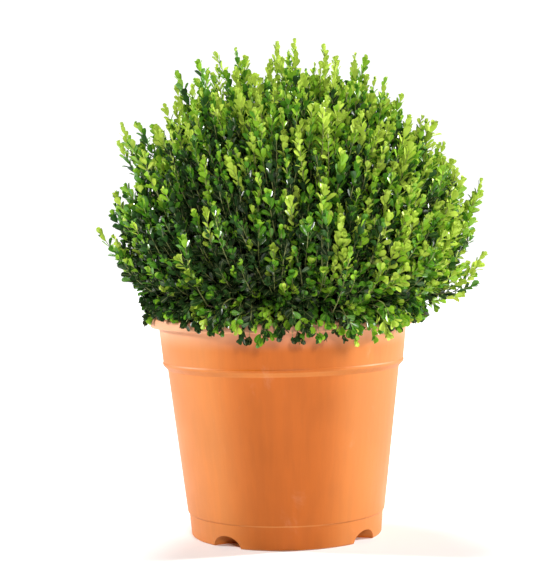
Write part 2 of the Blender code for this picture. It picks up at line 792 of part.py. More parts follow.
def grow_mass(cell, tips, rng, collection, finish):
    """One mass: a stem from its bough, twigs, shoots and leaves, all fused on a dense core."""
    group = new_collection(cell.name + "_growth", hidden=True)
    mass = build_core(cell, collection, finish)
    feet = [grow_shoot(drawn_in(tip, cell), pairs, cell, group, rng) for tip, pairs in tips]
    feet = [foot for foot in feet if foot is not None]
    foot = cell.inner_point()
    neck = cell.inner_point(NECK_SHARE)
    bar("stem", foot, neck, BOUGH_TIP_RADIUS, TWIG_RADIUS, group)
    grow_twigs(neck.lerp(foot, TWIG_SUNK), feet, cell, group)
    boolean(mass, "UNION", group=group)
    remove_objects(group.objects)
    bpy.data.collections.remove(group)
    keep_main_piece(mass)
    return mass


def build_mass(cell, tips, collection, finish):
    """Grows the mass, again with its leaves turned another way where two of them only just touch."""
    for attempt in range(GROWTH_ATTEMPTS):
        rng = random.Random(f"{SEED} {cell.name} {attempt}")
        mass = grow_mass(cell, tips, rng, collection, finish)
        if is_sound(mass) or attempt == GROWTH_ATTEMPTS - 1:
            return
        bpy.data.objects.remove(mass, do_unlink=True)


def build_foliage(cells, collection, finish):
    tips = shoot_tips()
    for cell in cells:
        own = [(tip, pairs) for tip, pairs in tips if cell_of(cells, tip) is cell]
        build_mass(cell, own, collection, finish)


# ---------------------------------------------------------------- the whole plant
def main():
    clear_scene()
    plant = new_collection("boxwood_ball_in_pot")
    helpers = new_collection("cutters", hidden=True)
    bark = material("bark", BARK_BROWN, 0.85)
    build_pot(plant, helpers, material("terracotta_plastic", TERRACOTTA, 0.45))
    build_soil(plant, helpers, material("potting_soil", SOIL_BROWN, 0.95))
    build_stem("stem", plant, bark)
    cells = make_cells()
    build_boughs(cells, plant, helpers, bark)
    build_foliage(cells, plant, material("boxwood_leaf", LEAF_GREEN, 0.45))
    remove_objects(helpers.objects)


main()
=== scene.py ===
"""Finishes the potted ball boxwood: the moulded pot, its soil, the bark of stem and boughs, and
the twigs, shoots and leaves that grow on from the boughs. Metres, +Z up, the front is -Y."""

import math
import random

import bpy
import numpy as np
from bpy.props import FloatProperty, FloatVectorProperty, IntProperty, PointerProperty
from bpy.types import Operator, Panel, PropertyGroup
from mathutils import Matrix, Vector


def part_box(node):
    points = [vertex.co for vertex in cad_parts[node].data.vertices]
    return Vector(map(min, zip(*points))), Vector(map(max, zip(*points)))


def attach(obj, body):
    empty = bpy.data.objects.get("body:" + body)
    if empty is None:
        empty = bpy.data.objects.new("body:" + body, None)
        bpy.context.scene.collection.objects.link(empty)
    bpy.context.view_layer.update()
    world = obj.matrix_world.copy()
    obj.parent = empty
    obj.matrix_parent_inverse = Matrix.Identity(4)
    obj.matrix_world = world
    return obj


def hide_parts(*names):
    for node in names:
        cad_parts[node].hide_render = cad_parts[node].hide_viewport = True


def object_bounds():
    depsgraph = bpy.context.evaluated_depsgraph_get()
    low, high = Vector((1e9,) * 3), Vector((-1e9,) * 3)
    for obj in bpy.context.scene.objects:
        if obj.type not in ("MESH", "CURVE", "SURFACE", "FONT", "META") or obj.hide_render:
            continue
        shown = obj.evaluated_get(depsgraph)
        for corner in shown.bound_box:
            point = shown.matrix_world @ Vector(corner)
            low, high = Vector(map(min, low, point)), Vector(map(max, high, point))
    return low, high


bl_info = {
    "name": "Potted Ball Boxwood",
    "version": (1, 0, 0),
    "blender": (4, 5, 0),
    "location": "View3D > Sidebar > Boxwood",
    "description": "Grows a loose ball of boxwood on its stem and boughs, in a moulded nursery pot",
    "category": "Add Mesh",
}

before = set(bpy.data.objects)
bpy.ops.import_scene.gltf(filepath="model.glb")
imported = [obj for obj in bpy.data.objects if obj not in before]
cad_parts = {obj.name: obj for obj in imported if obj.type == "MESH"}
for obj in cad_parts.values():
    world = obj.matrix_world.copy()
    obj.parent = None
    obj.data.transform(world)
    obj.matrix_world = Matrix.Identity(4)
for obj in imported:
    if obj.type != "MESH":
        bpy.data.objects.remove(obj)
CAD_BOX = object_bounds()
BODY = "root"

POT_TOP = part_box("pot")[1].z
LIP_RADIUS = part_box("pot")[1].x
SOIL_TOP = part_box("soil")[1].z
MASSES = sorted(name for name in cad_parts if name.startswith("foliage_"))
BOUGHS = sorted(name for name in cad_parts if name.startswith("bough_"))
SKIRT_MASSES = sum("skirt" in name for name in MASSES)
SHOULDER_MASSES = sum("shoulder" in name for name in MASSES)

BOX_LOW, BOX_HIGH = (np.array(corner) for corner in CAD_BOX)
UP = np.array((0.0, 0.0, 1.0))
ROUND = 2 * math.pi
HAIR = 0.0003                       # the gap that neighbours keep
SEED = 41

# Tips of the tall shoots that stand out of the ball, as (across, back, up).
LEADERS = np.array((
    (0.019, -0.020, 0.523), (-0.044, 0.015, 0.518), (0.005, 0.060, 0.512), (0.048, -0.045, 0.512),
    (0.084, 0.020, 0.510), (-0.083, -0.020, 0.503), (-0.108, 0.030, 0.480), (0.113, -0.030, 0.479),
    (0.128, 0.040, 0.461), (-0.150, -0.015, 0.439), (0.176, 0.000, 0.413), (-0.172, 0.025, 0.372),
    (0.213, -0.012, 0.374), (0.219, 0.015, 0.293), (-0.160, 0.030, 0.264), (0.206, -0.020, 0.262),
    (-0.022, -0.150, 0.440), (0.070, 0.155, 0.437), (-0.090, 0.135, 0.446),
    (0.040, -0.196, 0.352), (-0.070, 0.187, 0.340),
))

# Tips of the single sprigs that break the outline, each narrow and upright.
SPIRES = np.array((
    (0.001, 0.010, 0.527), (-0.067, 0.030, 0.514), (-0.033, -0.030, 0.503), (-0.108, 0.020, 0.494),
    (-0.121, 0.000, 0.458), (-0.136, 0.015, 0.437), (-0.168, 0.020, 0.440), (-0.191, -0.025, 0.328),
    (-0.175, 0.010, 0.368), (-0.178, -0.010, 0.346), (-0.174, 0.030, 0.352), (-0.173, -0.030, 0.364),
    (0.094, 0.000, 0.504), (0.066, 0.040, 0.505), (0.143, 0.040, 0.444), (0.156, -0.010, 0.436),
    (0.167, -0.040, 0.410), (0.191, 0.030, 0.373), (0.020, 0.110, 0.490), (-0.040, 0.130, 0.476),
    (0.120, 0.100, 0.450), (-0.110, 0.100, 0.455), (0.000, 0.175, 0.420), (0.100, 0.170, 0.380),
    (-0.140, 0.120, 0.390), (0.180, 0.090, 0.370), (0.060, -0.060, 0.498), (-0.070, -0.060, 0.488),
))

# Tips of the bright young sprigs that stand out of the ball's front. They are turned to its back too.
SPRIGS = np.array((
    (-0.040, -0.102, 0.463), (-0.092, -0.108, 0.430), (-0.051, -0.159, 0.393), (0.026, -0.093, 0.476),
    (0.019, -0.159, 0.420), (-0.140, -0.096, 0.356), (-0.112, -0.127, 0.371), (-0.072, -0.162, 0.345),
    (-0.093, -0.151, 0.317), (0.010, -0.183, 0.353), (-0.007, -0.182, 0.292), (-0.019, -0.182, 0.328),
    (0.060, -0.131, 0.445), (0.080, -0.132, 0.436), (0.047, -0.146, 0.433), (0.060, -0.167, 0.394),
    (0.129, -0.100, 0.431), (0.131, -0.118, 0.410), (0.042, -0.180, 0.361), (0.135, -0.134, 0.373),
    (0.058, -0.180, 0.334), (0.081, -0.173, 0.336), (0.122, -0.152, 0.305), (0.157, -0.118, 0.294),
    (0.111, -0.159, 0.306), (0.097, -0.163, 0.285), (0.111, -0.151, 0.276), (0.040, -0.181, 0.285),
))

# Tips of the shoots that hang over the pot's lip.
DROOPERS = np.array((
    (0.070, -0.155, 0.210), (0.020, -0.156, 0.218), (-0.058, -0.150, 0.221), (0.104, -0.132, 0.216),
    (-0.105, 0.125, 0.218), (0.030, 0.158, 0.213), (0.150, 0.060, 0.222),
))

# Where the ball's surface falls back: turn, rise and half width in degrees, and depth as a share.
HOLLOWS = (
    (0.0, 47.0, 24.0, 0.075), (20.0, -8.0, 14.0, 0.030),
    (-60.0, 30.0, 10.0, 0.050), (-120.0, 20.0, 9.0, 0.050), (100.0, 35.0, 14.0, 0.050),
)


# ---------------------------------------------------------------- sizes and colours
def length(name, description, default):
    return FloatProperty(name=name, description=description, default=default, min=0.0, max=2.0,
                         precision=4, unit="LENGTH", subtype="DISTANCE")


def angle(name, description, degrees):
    return FloatProperty(name=name, description=description, default=math.radians(degrees),
                         subtype="ANGLE")


def plain(name, description, default, low=0.0, high=10.0, subtype="NONE"):
    return FloatProperty(name=name, description=description, default=default, min=low, max=high,
                         subtype=subtype)


def share(name, description, default):
    return plain(name, description, default, 0.0, 1.0, "FACTOR")


def whole(name, description, default, low=1):
    return IntProperty(name=name, description=description, default=default, min=low)


def colour(name, description, default):
    return FloatVectorProperty(name=name, description=description, default=default, min=0.0, max=1.0,
                               subtype="COLOR")


class BoxwoodPot(PropertyGroup):
    """Sizes of the moulded pot"""

    height: length("Height", "Top of the lip above the ground", POT_TOP)
    lip_radius: length("Lip Radius", "Outer radius of the lip", LIP_RADIUS)
    lip_height: length("Lip Height", "Height of the lip's outer face", 0.0105)
    band_top_radius: length("Band Top Radius", "Outer radius just under the lip", 0.1305)
    band_bottom_radius: length("Band Bottom Radius", "Outer radius at the band's step", 0.1270)
    band_bottom: length("Band Bottom", "Height of the band's step", 0.1825)
    body_top_radius: length("Body Top Radius", "Outer radius under the band's step", 0.1222)
    body_top: length("Body Top", "Height of the body's top", 0.1765)
    body_bottom_radius: length("Body Bottom Radius", "Outer radius above the foot", 0.1048)
    foot_top_radius: length("Foot Top Radius", "Outer radius at the foot's top", 0.1031)
    foot_top: length("Foot Top", "Height of the foot ring", 0.0250)
    foot_radius: length("Foot Radius", "Outer radius on the ground", 0.1008)
    wall: length("Wall", "Thickness of the plastic", 0.0026)
    floor: length("Floor", "Height of the inside floor above the ground", 0.0300)
    pockets: whole("Pockets", "Scooped drain pockets", 4)
    first_pocket: angle("First Pocket", "Turn of the first pocket from the front", -37.5)
    pocket_half_width: length("Pocket Half Width", "Half the width of a pocket", 0.0175)
    pocket_height: length("Pocket Height", "Height of a pocket's arch", 0.0125)
    pocket_depth: length("Pocket Depth", "How far a pocket reaches inwards", 0.0240)
    drain_radius: length("Drain Radius", "Radius of a drain hole", 0.0050)
    drain_circle: length("Drain Circle", "Distance of the drain holes from the axis", 0.0450)
    segments: whole("Segments", "Steps round the pot", 224, 12)


class BoxwoodLimbs(PropertyGroup):
    """Sizes of the stem and its boughs"""

    stem_foot_radius: length("Stem Foot Radius", "Radius of the stem at the soil", 0.0125)
    stem_radius: length("Stem Radius", "Radius of the stem above its flare", 0.0085)
    stem_tip_radius: length("Stem Tip Radius", "Radius of the stem at its top", 0.0026)
    bough_radius: length("Bough Radius", "Radius of a bough at the stem", 0.0034)
    bough_tip_radius: length("Bough Tip Radius", "Radius of a bough at its mass", 0.0019)
    skirt_bough_height: length("Skirt Bough Height", "Where the lowest bough leaves", 0.236)
    shoulder_bough_height: length("Shoulder Bough Height", "Where the upper boughs leave", 0.290)
    bough_stagger: length("Bough Stagger", "Step between the heights of boughs", 0.005)
    bark_relief: length("Bark Relief", "Depth of the furrows in the bark", 0.0007)


class BoxwoodBall(PropertyGroup):
    """Shape of the ball and of the cells of its masses"""

    centre: FloatVectorProperty(
        name="Centre", description="Middle of the ball", default=(0.0155, 0.0, 0.313),
        precision=4, unit="LENGTH", subtype="TRANSLATION",
    )
    radius: length("Radius", "Reach of the ball sideways", 0.186)
    above: length("Above", "Reach of the ball upwards", 0.180)
    below: length("Below", "Reach of the ball downwards", 0.108)
    roundness: plain("Roundness", "2 is an ellipsoid, more is squarer", 2.3, 1.0)
    skirt_bottom: angle("Skirt Bottom", "Rise of the skirt's lower edge", -42.0)
    skirt_top: angle("Skirt Top", "Rise between skirt and shoulder", 10.0)
    shoulder_top: angle("Shoulder Top", "Rise between shoulder and crown", 48.0)
    skirt_turn: angle("Skirt Turn", "Turn of the first skirt mass", -12.0)
    shoulder_turn: angle("Shoulder Turn", "Turn of the first shoulder mass", 20.0)
    inner: share("Inner", "Share of the reach where a mass begins", 0.54)
    neck: share("Neck", "Share of the reach where twigs fork", 0.65)


class BoxwoodShoots(PropertyGroup):
    """How the shoots and their leaves stand"""

    outer: whole("Outer Shoots", "Shoots on a whole sphere, at its surface", 2900)
    inner: whole("Inner Shoots", "Shoots on a whole sphere, under its surface", 1400)
    source: whole("Main Shoots", "Main shoots on a whole sphere", 150)
    hem: whole("Hem Shoots", "Short shoots round the pot's lip", 230)
    length: length("Length", "Length of a shoot at the surface", 0.062)
    lift: plain("Lift", "How far shoots turn up", 1.9)
    level_rise: angle("Level Rise", "Rise at which shoots lie level", -29.0)
    upturn_span: angle("Upturn Span", "Rise over which they turn up", 36.0)
    droop: plain("Droop", "Lift at the hem, as a share", -0.35, -1.0, 0.0)
    hem_rise: angle("Hem Rise", "Lowest rise that bears shoots", -38.0)
    hem_clearance: length("Hem Clearance", "How far the hem stands off the lip", 0.005)
    twig_reach: share("Twig Reach", "How far to the middle a twig runs before it forks", 0.55)
    leaf_length: length("Leaf Length", "Length of a grown leaf", 0.0100)
    leaf_width: length("Leaf Width", "Width of a grown leaf", 0.0057)
    leaf_spacing: length("Leaf Spacing", "Distance between grown pairs", 0.0055)


class BoxwoodColours(PropertyGroup):
    """Colours of the finishes"""

    # Leaves are dealt to the five leaf colours by a tone that is partly age and partly painted light and
    # shade: young and fresh are also lit leaves, lighter for the light that shines through them, and deep and
    # shade are also painted shade low down and inside the ball.
    young: colour("Young Leaf", "Newest leaves at the tips", (0.415, 0.555, 0.058))
    fresh: colour("Fresh Leaf", "Leaves of this year in the sun", (0.228, 0.430, 0.018))
    grown: colour("Grown Leaf", "Ordinary leaves", (0.063, 0.210, 0.006))
    deep: colour("Deep Leaf", "Leaves of the skirt", (0.011, 0.056, 0.007))
    shade: colour("Shade Leaf", "Oldest leaves inside", (0.003, 0.018, 0.004))
    shoot: colour("Green Shoot", "Skin of a shoot", (0.270, 0.300, 0.085))
    twig: colour("Twig", "Skin of a twig", (0.235, 0.165, 0.095))
    bark: colour("Bark", "Bark of stem and boughs", (0.235, 0.165, 0.095))
    soil: colour("Soil", "Damp potting soil", (0.045, 0.028, 0.018))
    plastic: colour("Plastic", "Orange plastic of the pot", (0.455, 0.101, 0.004))


class BoxwoodStage(PropertyGroup):
    """Floor and studio light"""

    floor_colour: colour("Floor", "Colour of the floor", (0.92, 0.92, 0.92))
    backdrop: plain("Backdrop", "Strength of the white seen behind", 1.1)
    sky: plain("Sky", "Strength of the soft light all round", 0.05)
    left: plain("Left", "Strength of the light from the left", 4.4)
    right: plain("Right", "Strength of the light from the right", 5.5)
    front: plain("Front", "Strength of the light over the camera", 1.9)
    top: plain("Top", "Strength of the light from above and behind", 2.4)


class BoxwoodSettings(PropertyGroup):
    """All sizes and colours of the plant"""

    pot: PointerProperty(type=BoxwoodPot)
    limbs: PointerProperty(type=BoxwoodLimbs)
    ball: PointerProperty(type=BoxwoodBall)
    shoots: PointerProperty(type=BoxwoodShoots)
    colours: PointerProperty(type=BoxwoodColours)
    stage: PointerProperty(type=BoxwoodStage)


# ---------------------------------------------------------------- arrays
def unit(vectors):
    """Each row divided by its length."""
    return vectors / np.maximum(np.linalg.norm(vectors, axis=-1, keepdims=True), 1e-12)


def dot(a, b):
    """Row by row dot product, kept as a column."""
    return np.sum(a * b, axis=-1, keepdims=True)


def turned_about(vectors, axes, angles):
    """Each row turned about its unit axis: v cos a + (axis x v) sin a + axis (axis . v)(1 - cos a)."""
    cos, sin = np.cos(angles)[..., None], np.sin(angles)[..., None]
    return vectors * cos + np.cross(axes, vectors) * sin + axes * dot(axes, vectors) * (1 - cos)


def off_axis(points):
    """How far points are from the Z axis."""
    return np.hypot(points[..., 0], points[..., 1])


def side_of(ways):
    """A unit vector square to each row: the row crossed with the axis that it follows least."""
    return unit(np.cross(ways, np.eye(3)[np.argmin(np.abs(ways), axis=-1)]))


def jittered(ways, degrees, rng):
    """Each row leaned by a normal random angle towards a random side."""
    spun = turned_about(side_of(ways), ways, rng.uniform(0, ROUND, len(ways)))
    return turned_about(ways, spun, np.radians(rng.normal(0, degrees, len(ways))))


def even_turns(steps):
    """The angles of even steps once round."""
    return np.arange(steps) * ROUND / steps


def lattice_value(cells, seed):
    """A repeatable number from -1 to 1 for each whole-number lattice corner, by mixing its bits."""
    x, y, z = (cells[..., k].astype(np.int64) for k in range(3))
    mixed = (x * 73856093 ^ y * 19349663 ^ z * 83492791 ^ seed * 2654435761) & 0xFFFFFFFF
    mixed = ((mixed ^ (mixed >> 15)) * 2246822519) & 0xFFFFFFFF
    mixed = ((mixed ^ (mixed >> 13)) * 3266489917) & 0xFFFFFFFF
    return (mixed ^ (mixed >> 16)) / 0x7FFFFFFF - 1.0


def lumps(points, per_metre, seed, octaves=2):
    """Smooth noise from -1 to 1: lattice values blended by the step 3 t^2 - 2 t^3 along each axis,
    then summed over octaves, each twice as fine and half as strong."""
    total, weight = np.zeros(points.shape[:-1]), 0.0
    for octave in range(octaves):
        place = points * per_metre * 2**octave
        low = np.floor(place)
        blend = place - low
        blend = blend * blend * (3 - 2 * blend)
        value = np.zeros(points.shape[:-1])
        for corner in np.ndindex(2, 2, 2):
            near = np.prod(np.where(corner, blend, 1 - blend), axis=-1)
            value += near * lattice_value(low + corner, seed + octave)
        total += value * 0.5**octave
        weight += 0.5**octave
    return total / weight


def hermite(start, start_way, end, end_way, t):
    """Points and unit ways of the cubics that leave start along start_way and meet end along
    end_way: rows are curves, columns are steps t from 0 to 1."""
    t = t[..., None]
    a, b, c, d = (v[:, None, :] for v in (start, start_way, end, end_way))
    points = (
        a * (2 * t**3 - 3 * t**2 + 1) + b * (t**3 - 2 * t**2 + t)
        + c * (3 * t**2 - 2 * t**3) + d * (t**3 - t**2)
    )
    ways = (
        a * (6 * t**2 - 6 * t) + b * (3 * t**2 - 4 * t + 1)
        + c * (6 * t - 6 * t**2) + d * (3 * t**2 - 2 * t)
    )
    return points, unit(ways)


# ---------------------------------------------------------------- shapes: points, faces, places
def mesh_piece(name, shape, finish):
    """A smooth mesh object from whole arrays: points, a list of arrays with one row of corners for
    each face, and a place on the finish for each point, or None."""
    points, faces, places = shape
    mesh = bpy.data.meshes.new(name)
    corners = np.concatenate([rows.ravel() for rows in faces]).astype(np.int32)
    sizes = np.concatenate([np.full(len(rows), rows.shape[1]) for rows in faces])
    mesh.vertices.add(len(points))
    mesh.vertices.foreach_set("co", np.ascontiguousarray(points, np.float32).ravel())
    mesh.loops.add(len(corners))
    mesh.loops.foreach_set("vertex_index", corners)
    mesh.polygons.add(len(sizes))
    mesh.polygons.foreach_set("loop_start", np.concatenate([[0], np.cumsum(sizes)[:-1]]).astype(np.int32))
    if places is not None:
        layer = mesh.uv_layers.new(name="Grain")
        layer.uv.foreach_set("vector", places[corners].astype(np.float32).ravel())
    mesh.update(calc_edges=True)
    if mesh.validate():
        raise RuntimeError(f"{name} had faces that don't fit together")
    mesh.shade_smooth()
    mesh.materials.append(finish)
    piece = bpy.data.objects.new(name, mesh)
    bpy.context.scene.collection.objects.link(piece)
    return piece


def stand_in_for(piece, slot, *nodes):
    """Rides the piece on the plant's body and lets it stand for CAD nodes; the slot that would name its
    finish is not used.
    """
    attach(piece, BODY)
    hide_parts(*nodes)


def outward(points, faces):
    """The faces, turned round where their fans of triangles hold a volume below zero."""
    volume = 0.0
    for rows in faces:
        first = points[rows[:, 0]]
        for k in range(1, rows.shape[1] - 1):
            volume += np.sum(np.cross(first, points[rows[:, k]]) * points[rows[:, k + 1]])
    return faces if volume > 0 else [rows[:, ::-1] for rows in faces]


def grid_faces(rows, columns):
    """Quads of a grid whose columns close on themselves."""
    i, j = np.arange(rows - 1)[:, None] * columns, np.arange(columns)[None, :]
    k = (j + 1) % columns
    return np.stack([i + j, i + k, i + columns + k, i + columns + j], axis=-1).reshape(-1, 4)


def ring_points(ring, turn):
    """The points (r cos a, r sin a, z) of each (r, z) at every turn a."""
    return np.stack([
        ring[:, :1] * np.cos(turn), ring[:, :1] * np.sin(turn), np.repeat(ring[:, 1:], len(turn), axis=1),
    ], axis=-1).reshape(-1, 3)


def revolved(profile, segments):
    """The profile of points (r, z) turned once round Z. It begins and ends on the axis, so the
    shell is closed, with a fan at each pole."""
    ring, turn = profile[1:-1], even_turns(segments)
    points = np.concatenate([ring_points(ring, turn), [(0, 0, profile[0, 1]), (0, 0, profile[-1, 1])]])
    j = np.arange(segments)
    k = (j + 1) % segments
    last = (len(ring) - 1) * segments
    fans = np.concatenate([
        np.stack([k, j, np.full(segments, len(ring) * segments)], axis=-1),
        np.stack([last + j, last + k, np.full(segments, len(ring) * segments + 1)], axis=-1),
    ])
    along = np.concatenate([[0.0], np.cumsum(np.linalg.norm(np.diff(ring, axis=0), axis=1))])
    uv = np.stack(np.broadcast_arrays(turn[None, :], along[:, None]), axis=-1).reshape(-1, 2)
    faces = outward(points, [grid_faces(len(ring), segments), fans])
    return points, faces, np.concatenate([uv, [(0, 0), (0, along[-1])]])


def tubes(points, ways, radii, sides, swell=1.0):
    """Closed round tubes along many lines at once: each ring is centre + radius (u cos a + v sin a),
    where u is carried from ring to ring square to the line. swell scales each point's radius."""
    lines, rings = points.shape[:2]
    u = np.empty_like(points)
    u[:, 0] = side_of(ways[:, 0])
    for ring in range(1, rings):
        u[:, ring] = unit(u[:, ring - 1] - ways[:, ring] * dot(u[:, ring - 1], ways[:, ring]))
    v = np.cross(ways, u)
    turn = even_turns(sides)[None, None, :, None]
    spokes = u[:, :, None] * np.cos(turn) + v[:, :, None] * np.sin(turn)
    shell = points[:, :, None] + spokes * (radii[:, :, None, None] * np.asarray(swell)[..., None])
    base = (np.arange(lines) * rings * sides)[:, None]
    walls = (base[:, :, None] + grid_faces(rings, sides)[None]).reshape(-1, 4)
    caps = np.concatenate([
        base + np.arange(sides)[None, ::-1], base + (rings - 1) * sides + np.arange(sides)[None, :],
    ])
    along = np.cumsum(np.linalg.norm(np.diff(points, axis=1, prepend=points[:, :1]), axis=-1), axis=1)
    uv = np.stack(np.broadcast_arrays((np.arange(sides) / sides)[None, None, :], along[:, :, None]), axis=-1)
    return shell.reshape(-1, 3), [walls, caps], uv.reshape(-1, 2)


def joined(shapes):
    """One shape out of several, with the corners renumbered."""
    points, faces, places = zip(*shapes)
    firsts = np.cumsum([0, *(len(some) for some in points)])
    faces = [rows + first for some, first in zip(faces, firsts) for rows in some]
    return np.concatenate(points), faces, np.concatenate(places)


# ---------------------------------------------------------------- finishes
class Wiring:
    """Adds nodes to a tree in one line each and feeds their inputs."""

    def __init__(self, tree):
        self.tree = tree

    def feed(self, node, inputs):
        """Links each input that is given a socket, and sets the others."""
        for key, value in inputs.items():
            if isinstance(value, bpy.types.NodeSocket):
                self.tree.links.new(value, node.inputs[key])
            else:
                node.inputs[key].default_value = value
        return node

    def node(self, kind, inputs=None, **settings):
        made = self.tree.nodes.new(kind)
        for key, value in settings.items():
            setattr(made, key, value)
        return self.feed(made, inputs or {}).outputs

    def math(self, operation, *values, clamp=False):
        return self.node("ShaderNodeMath", dict(enumerate(values)), operation=operation, use_clamp=clamp)[0]

    def mix(self, factor, a, b, blend="MIX"):
        return self.node("ShaderNodeMix", {0: factor, 6: a, 7: b}, data_type="RGBA", blend_type=blend)[2]

    def scaled(self, colour, by):
        """The colour times one value."""
        grey = self.node("ShaderNodeCombineColor", {0: by, 1: by, 2: by})[0]
        return self.mix(1.0, colour, grey, "MULTIPLY")

    def remap(self, value, low, high, to_low=0.0, to_high=1.0, way="SMOOTHSTEP"):
        return self.node(
            "ShaderNodeMapRange",
            {"Value": value, "From Min": low, "From Max": high, "To Min": to_low, "To Max": to_high},
            interpolation_type=way,
        )["Result"]

    def noise(self, place, per_metre, detail=2.0, roughness=0.5, distortion=0.0):
        return self.node("ShaderNodeTexNoise", {
            "Vector": place, "Scale": per_metre, "Detail": detail, "Roughness": roughness,
            "Distortion": distortion,
        })["Fac"]

    def object_place(self, stretch=None):
        place = self.node("ShaderNodeTexCoord")["Object"]
        if stretch:
            place = self.node("ShaderNodeMapping", {"Vector": place, "Scale": stretch})["Vector"]
        return place

    def surface(self, colour, roughness, height, strength, depth, **more):
        """Feeds the Principled BSDF, with a bump from the height."""
        bump = self.node("ShaderNodeBump", {"Strength": strength, "Distance": depth, "Height": height})
        self.feed(self.tree.nodes["Principled BSDF"], {
            "Base Color": colour, "Roughness": roughness, "Normal": bump["Normal"], **more,
        })


def new_finish(name):
    """A material with a lone Principled BSDF, and its wiring."""
    made = bpy.data.materials.new(name)
    made.use_nodes = True
    return made, Wiring(made.node_tree)


def effect_group(name, inputs, wire_up):
    """The named node group, made once. Its inputs are numbers, colours or, where None, a vector.
    wire_up wires it from them and gives the colour, roughness and height that it puts out."""
    tree = bpy.data.node_groups.get(name)
    if tree is None:
        tree = bpy.data.node_groups.new(name, "ShaderNodeTree")
        for key, default in inputs.items():
            kind = "Vector" if default is None else "Color" if isinstance(default, tuple) else "Float"
            made = tree.interface.new_socket(name=key, in_out="INPUT", socket_type="NodeSocket" + kind)
            if default is not None:
                made.default_value = default
        for key, kind in (("Colour", "Color"), ("Roughness", "Float"), ("Height", "Float")):
            tree.interface.new_socket(name=key, in_out="OUTPUT", socket_type="NodeSocket" + kind)
        wires = Wiring(tree)
        put_out = wire_up(wires, wires.node("NodeGroupInput"))
        wires.feed(tree.nodes.new("NodeGroupOutput"), dict(zip(("Colour", "Roughness", "Height"), put_out)))
    return tree


def wire_grain(wires, given):
    """Colour that wanders lighter and darker in patches of two sizes, with a height to match."""
    patches = wires.remap(wires.noise(given["Place"], given["Patches Per Metre"], 3.0), 0.34, 0.66)
    grain = wires.noise(given["Place"], given["Grain Per Metre"], 4.0, 0.62)
    amount = wires.math("MULTIPLY", grain, given["Grain Share"])
    keep = wires.math("SUBTRACT", 1.0, given["Grain Share"])
    mask = wires.math("ADD", amount, wires.math("MULTIPLY", patches, keep), clamp=True)
    rough = wires.remap(mask, 0.0, 1.0, given["High Roughness"], given["Low Roughness"], "LINEAR")
    return wires.mix(mask, given["Dark"], given["Colour"]), rough, grain


def wire_leaf(wires, given):
    """A leaf's face: a pale midrib, side veins, a darker margin and soft patches, from its own
    places (0 to 1 across, 0 to 1 along) and from where it stands."""
    split = wires.node("ShaderNodeSeparateXYZ", {0: given["Face"]})
    off_rib = wires.math("ABSOLUTE", wires.math("SUBTRACT", split[0], 0.5))
    rib = wires.remap(off_rib, 0.015, 0.075, 1.0, 0.0)
    slant = wires.math("ADD", wires.math("MULTIPLY", off_rib, -0.9), split[1])
    vein = wires.math("SINE", wires.math("MULTIPLY", slant, 62.0))
    vein = wires.math("MULTIPLY", wires.remap(vein, 0.4, 1.0), 0.22)
    patch = wires.noise(given["Place"], given["Patches Per Metre"])
    lighter = wires.remap(patch, 0.35, 0.65, 0.78, 1.22)
    margin = wires.remap(off_rib, 0.40, 0.5, 1.0, 0.82)
    body = wires.scaled(given["Colour"], wires.math("MULTIPLY", lighter, margin))
    lines = wires.math("MAXIMUM", wires.math("MULTIPLY", rib, 0.55), vein)
    rough = wires.remap(patch, 0.35, 0.65, given["Low Roughness"], given["High Roughness"], "LINEAR")
    height = wires.math("SUBTRACT", wires.math("MULTIPLY", vein, 1.5), rib)
    return wires.mix(lines, body, given["Rib Colour"]), rough, height


GRAIN_KEYS = ("Patches Per Metre", "Grain Per Metre", "Grain Share", "Low Roughness", "High Roughness")
GRAIN_INPUTS = {
    "Colour": (0.5, 0.5, 0.5, 1.0), "Dark": (0.2, 0.2, 0.2, 1.0),
    **dict(zip(GRAIN_KEYS, (20.0, 400.0, 0.4, 0.35, 0.6))), "Place": None,
}
LEAF_INPUTS = {
    "Colour": (0.1, 0.3, 0.03, 1.0), "Rib Colour": (0.3, 0.5, 0.1, 1.0), "Patches Per Metre": 60.0,
    "Low Roughness": 0.25, "High Roughness": 0.5, "Face": None, "Place": None,
}
# What a leaf's colour is mixed with on its rib and underside, and on the plastic: dust, a painted light near
# the lip and a painted sheen.
RIB_PALE, BELOW_PALE = (0.55, 0.62, 0.22), (0.21, 0.43, 0.12)
DUST, PAINTED_LIP_LIGHT, PAINTED_SHEEN = (0.80, 0.56, 0.42, 1.0), (0.86, 0.60, 0.46, 1.0), (0.95, 0.58, 0.22, 1.0)

GRAINS = {
    # darkest, patches and grain per metre, grain's share, roughness from and to
    "Potting Soil": (0.35, 70, 900, 0.6, 0.75, 0.98),
    "Boxwood Bark": (0.42, 120, 900, 0.55, 0.72, 0.95),
    "Twig Skin": (0.45, 160, 1500, 0.4, 0.6, 0.85),
    "Green Shoot": (0.5, 90, 1200, 0.3, 0.4, 0.6),
    "Terracotta Plastic": (0.86, 11, 900, 0.16, 0.44, 0.56),
}


def grain_node(wires, name, rgb, stretch=None):
    """What the grain's node group puts out, with the values of the named finish."""
    darkest, *values = GRAINS[name]
    return wires.node("ShaderNodeGroup", {
        "Colour": (*rgb, 1.0), "Dark": (*(c * darkest for c in rgb), 1.0),
        **dict(zip(GRAIN_KEYS, values)), "Place": wires.object_place(stretch),
    }, node_tree=effect_group("Tint And Grain", GRAIN_INPUTS, wire_grain))


def grained_finish(name, rgb, depth, stretch=None):
    """Bark, soil or twig skin: patches and grain in colour and roughness, and a bump to match."""
    made, wires = new_finish(name)
    skin = grain_node(wires, name, rgb, stretch)
    wires.surface(skin["Colour"], skin["Roughness"], skin["Height"], 0.6, depth)
    return made


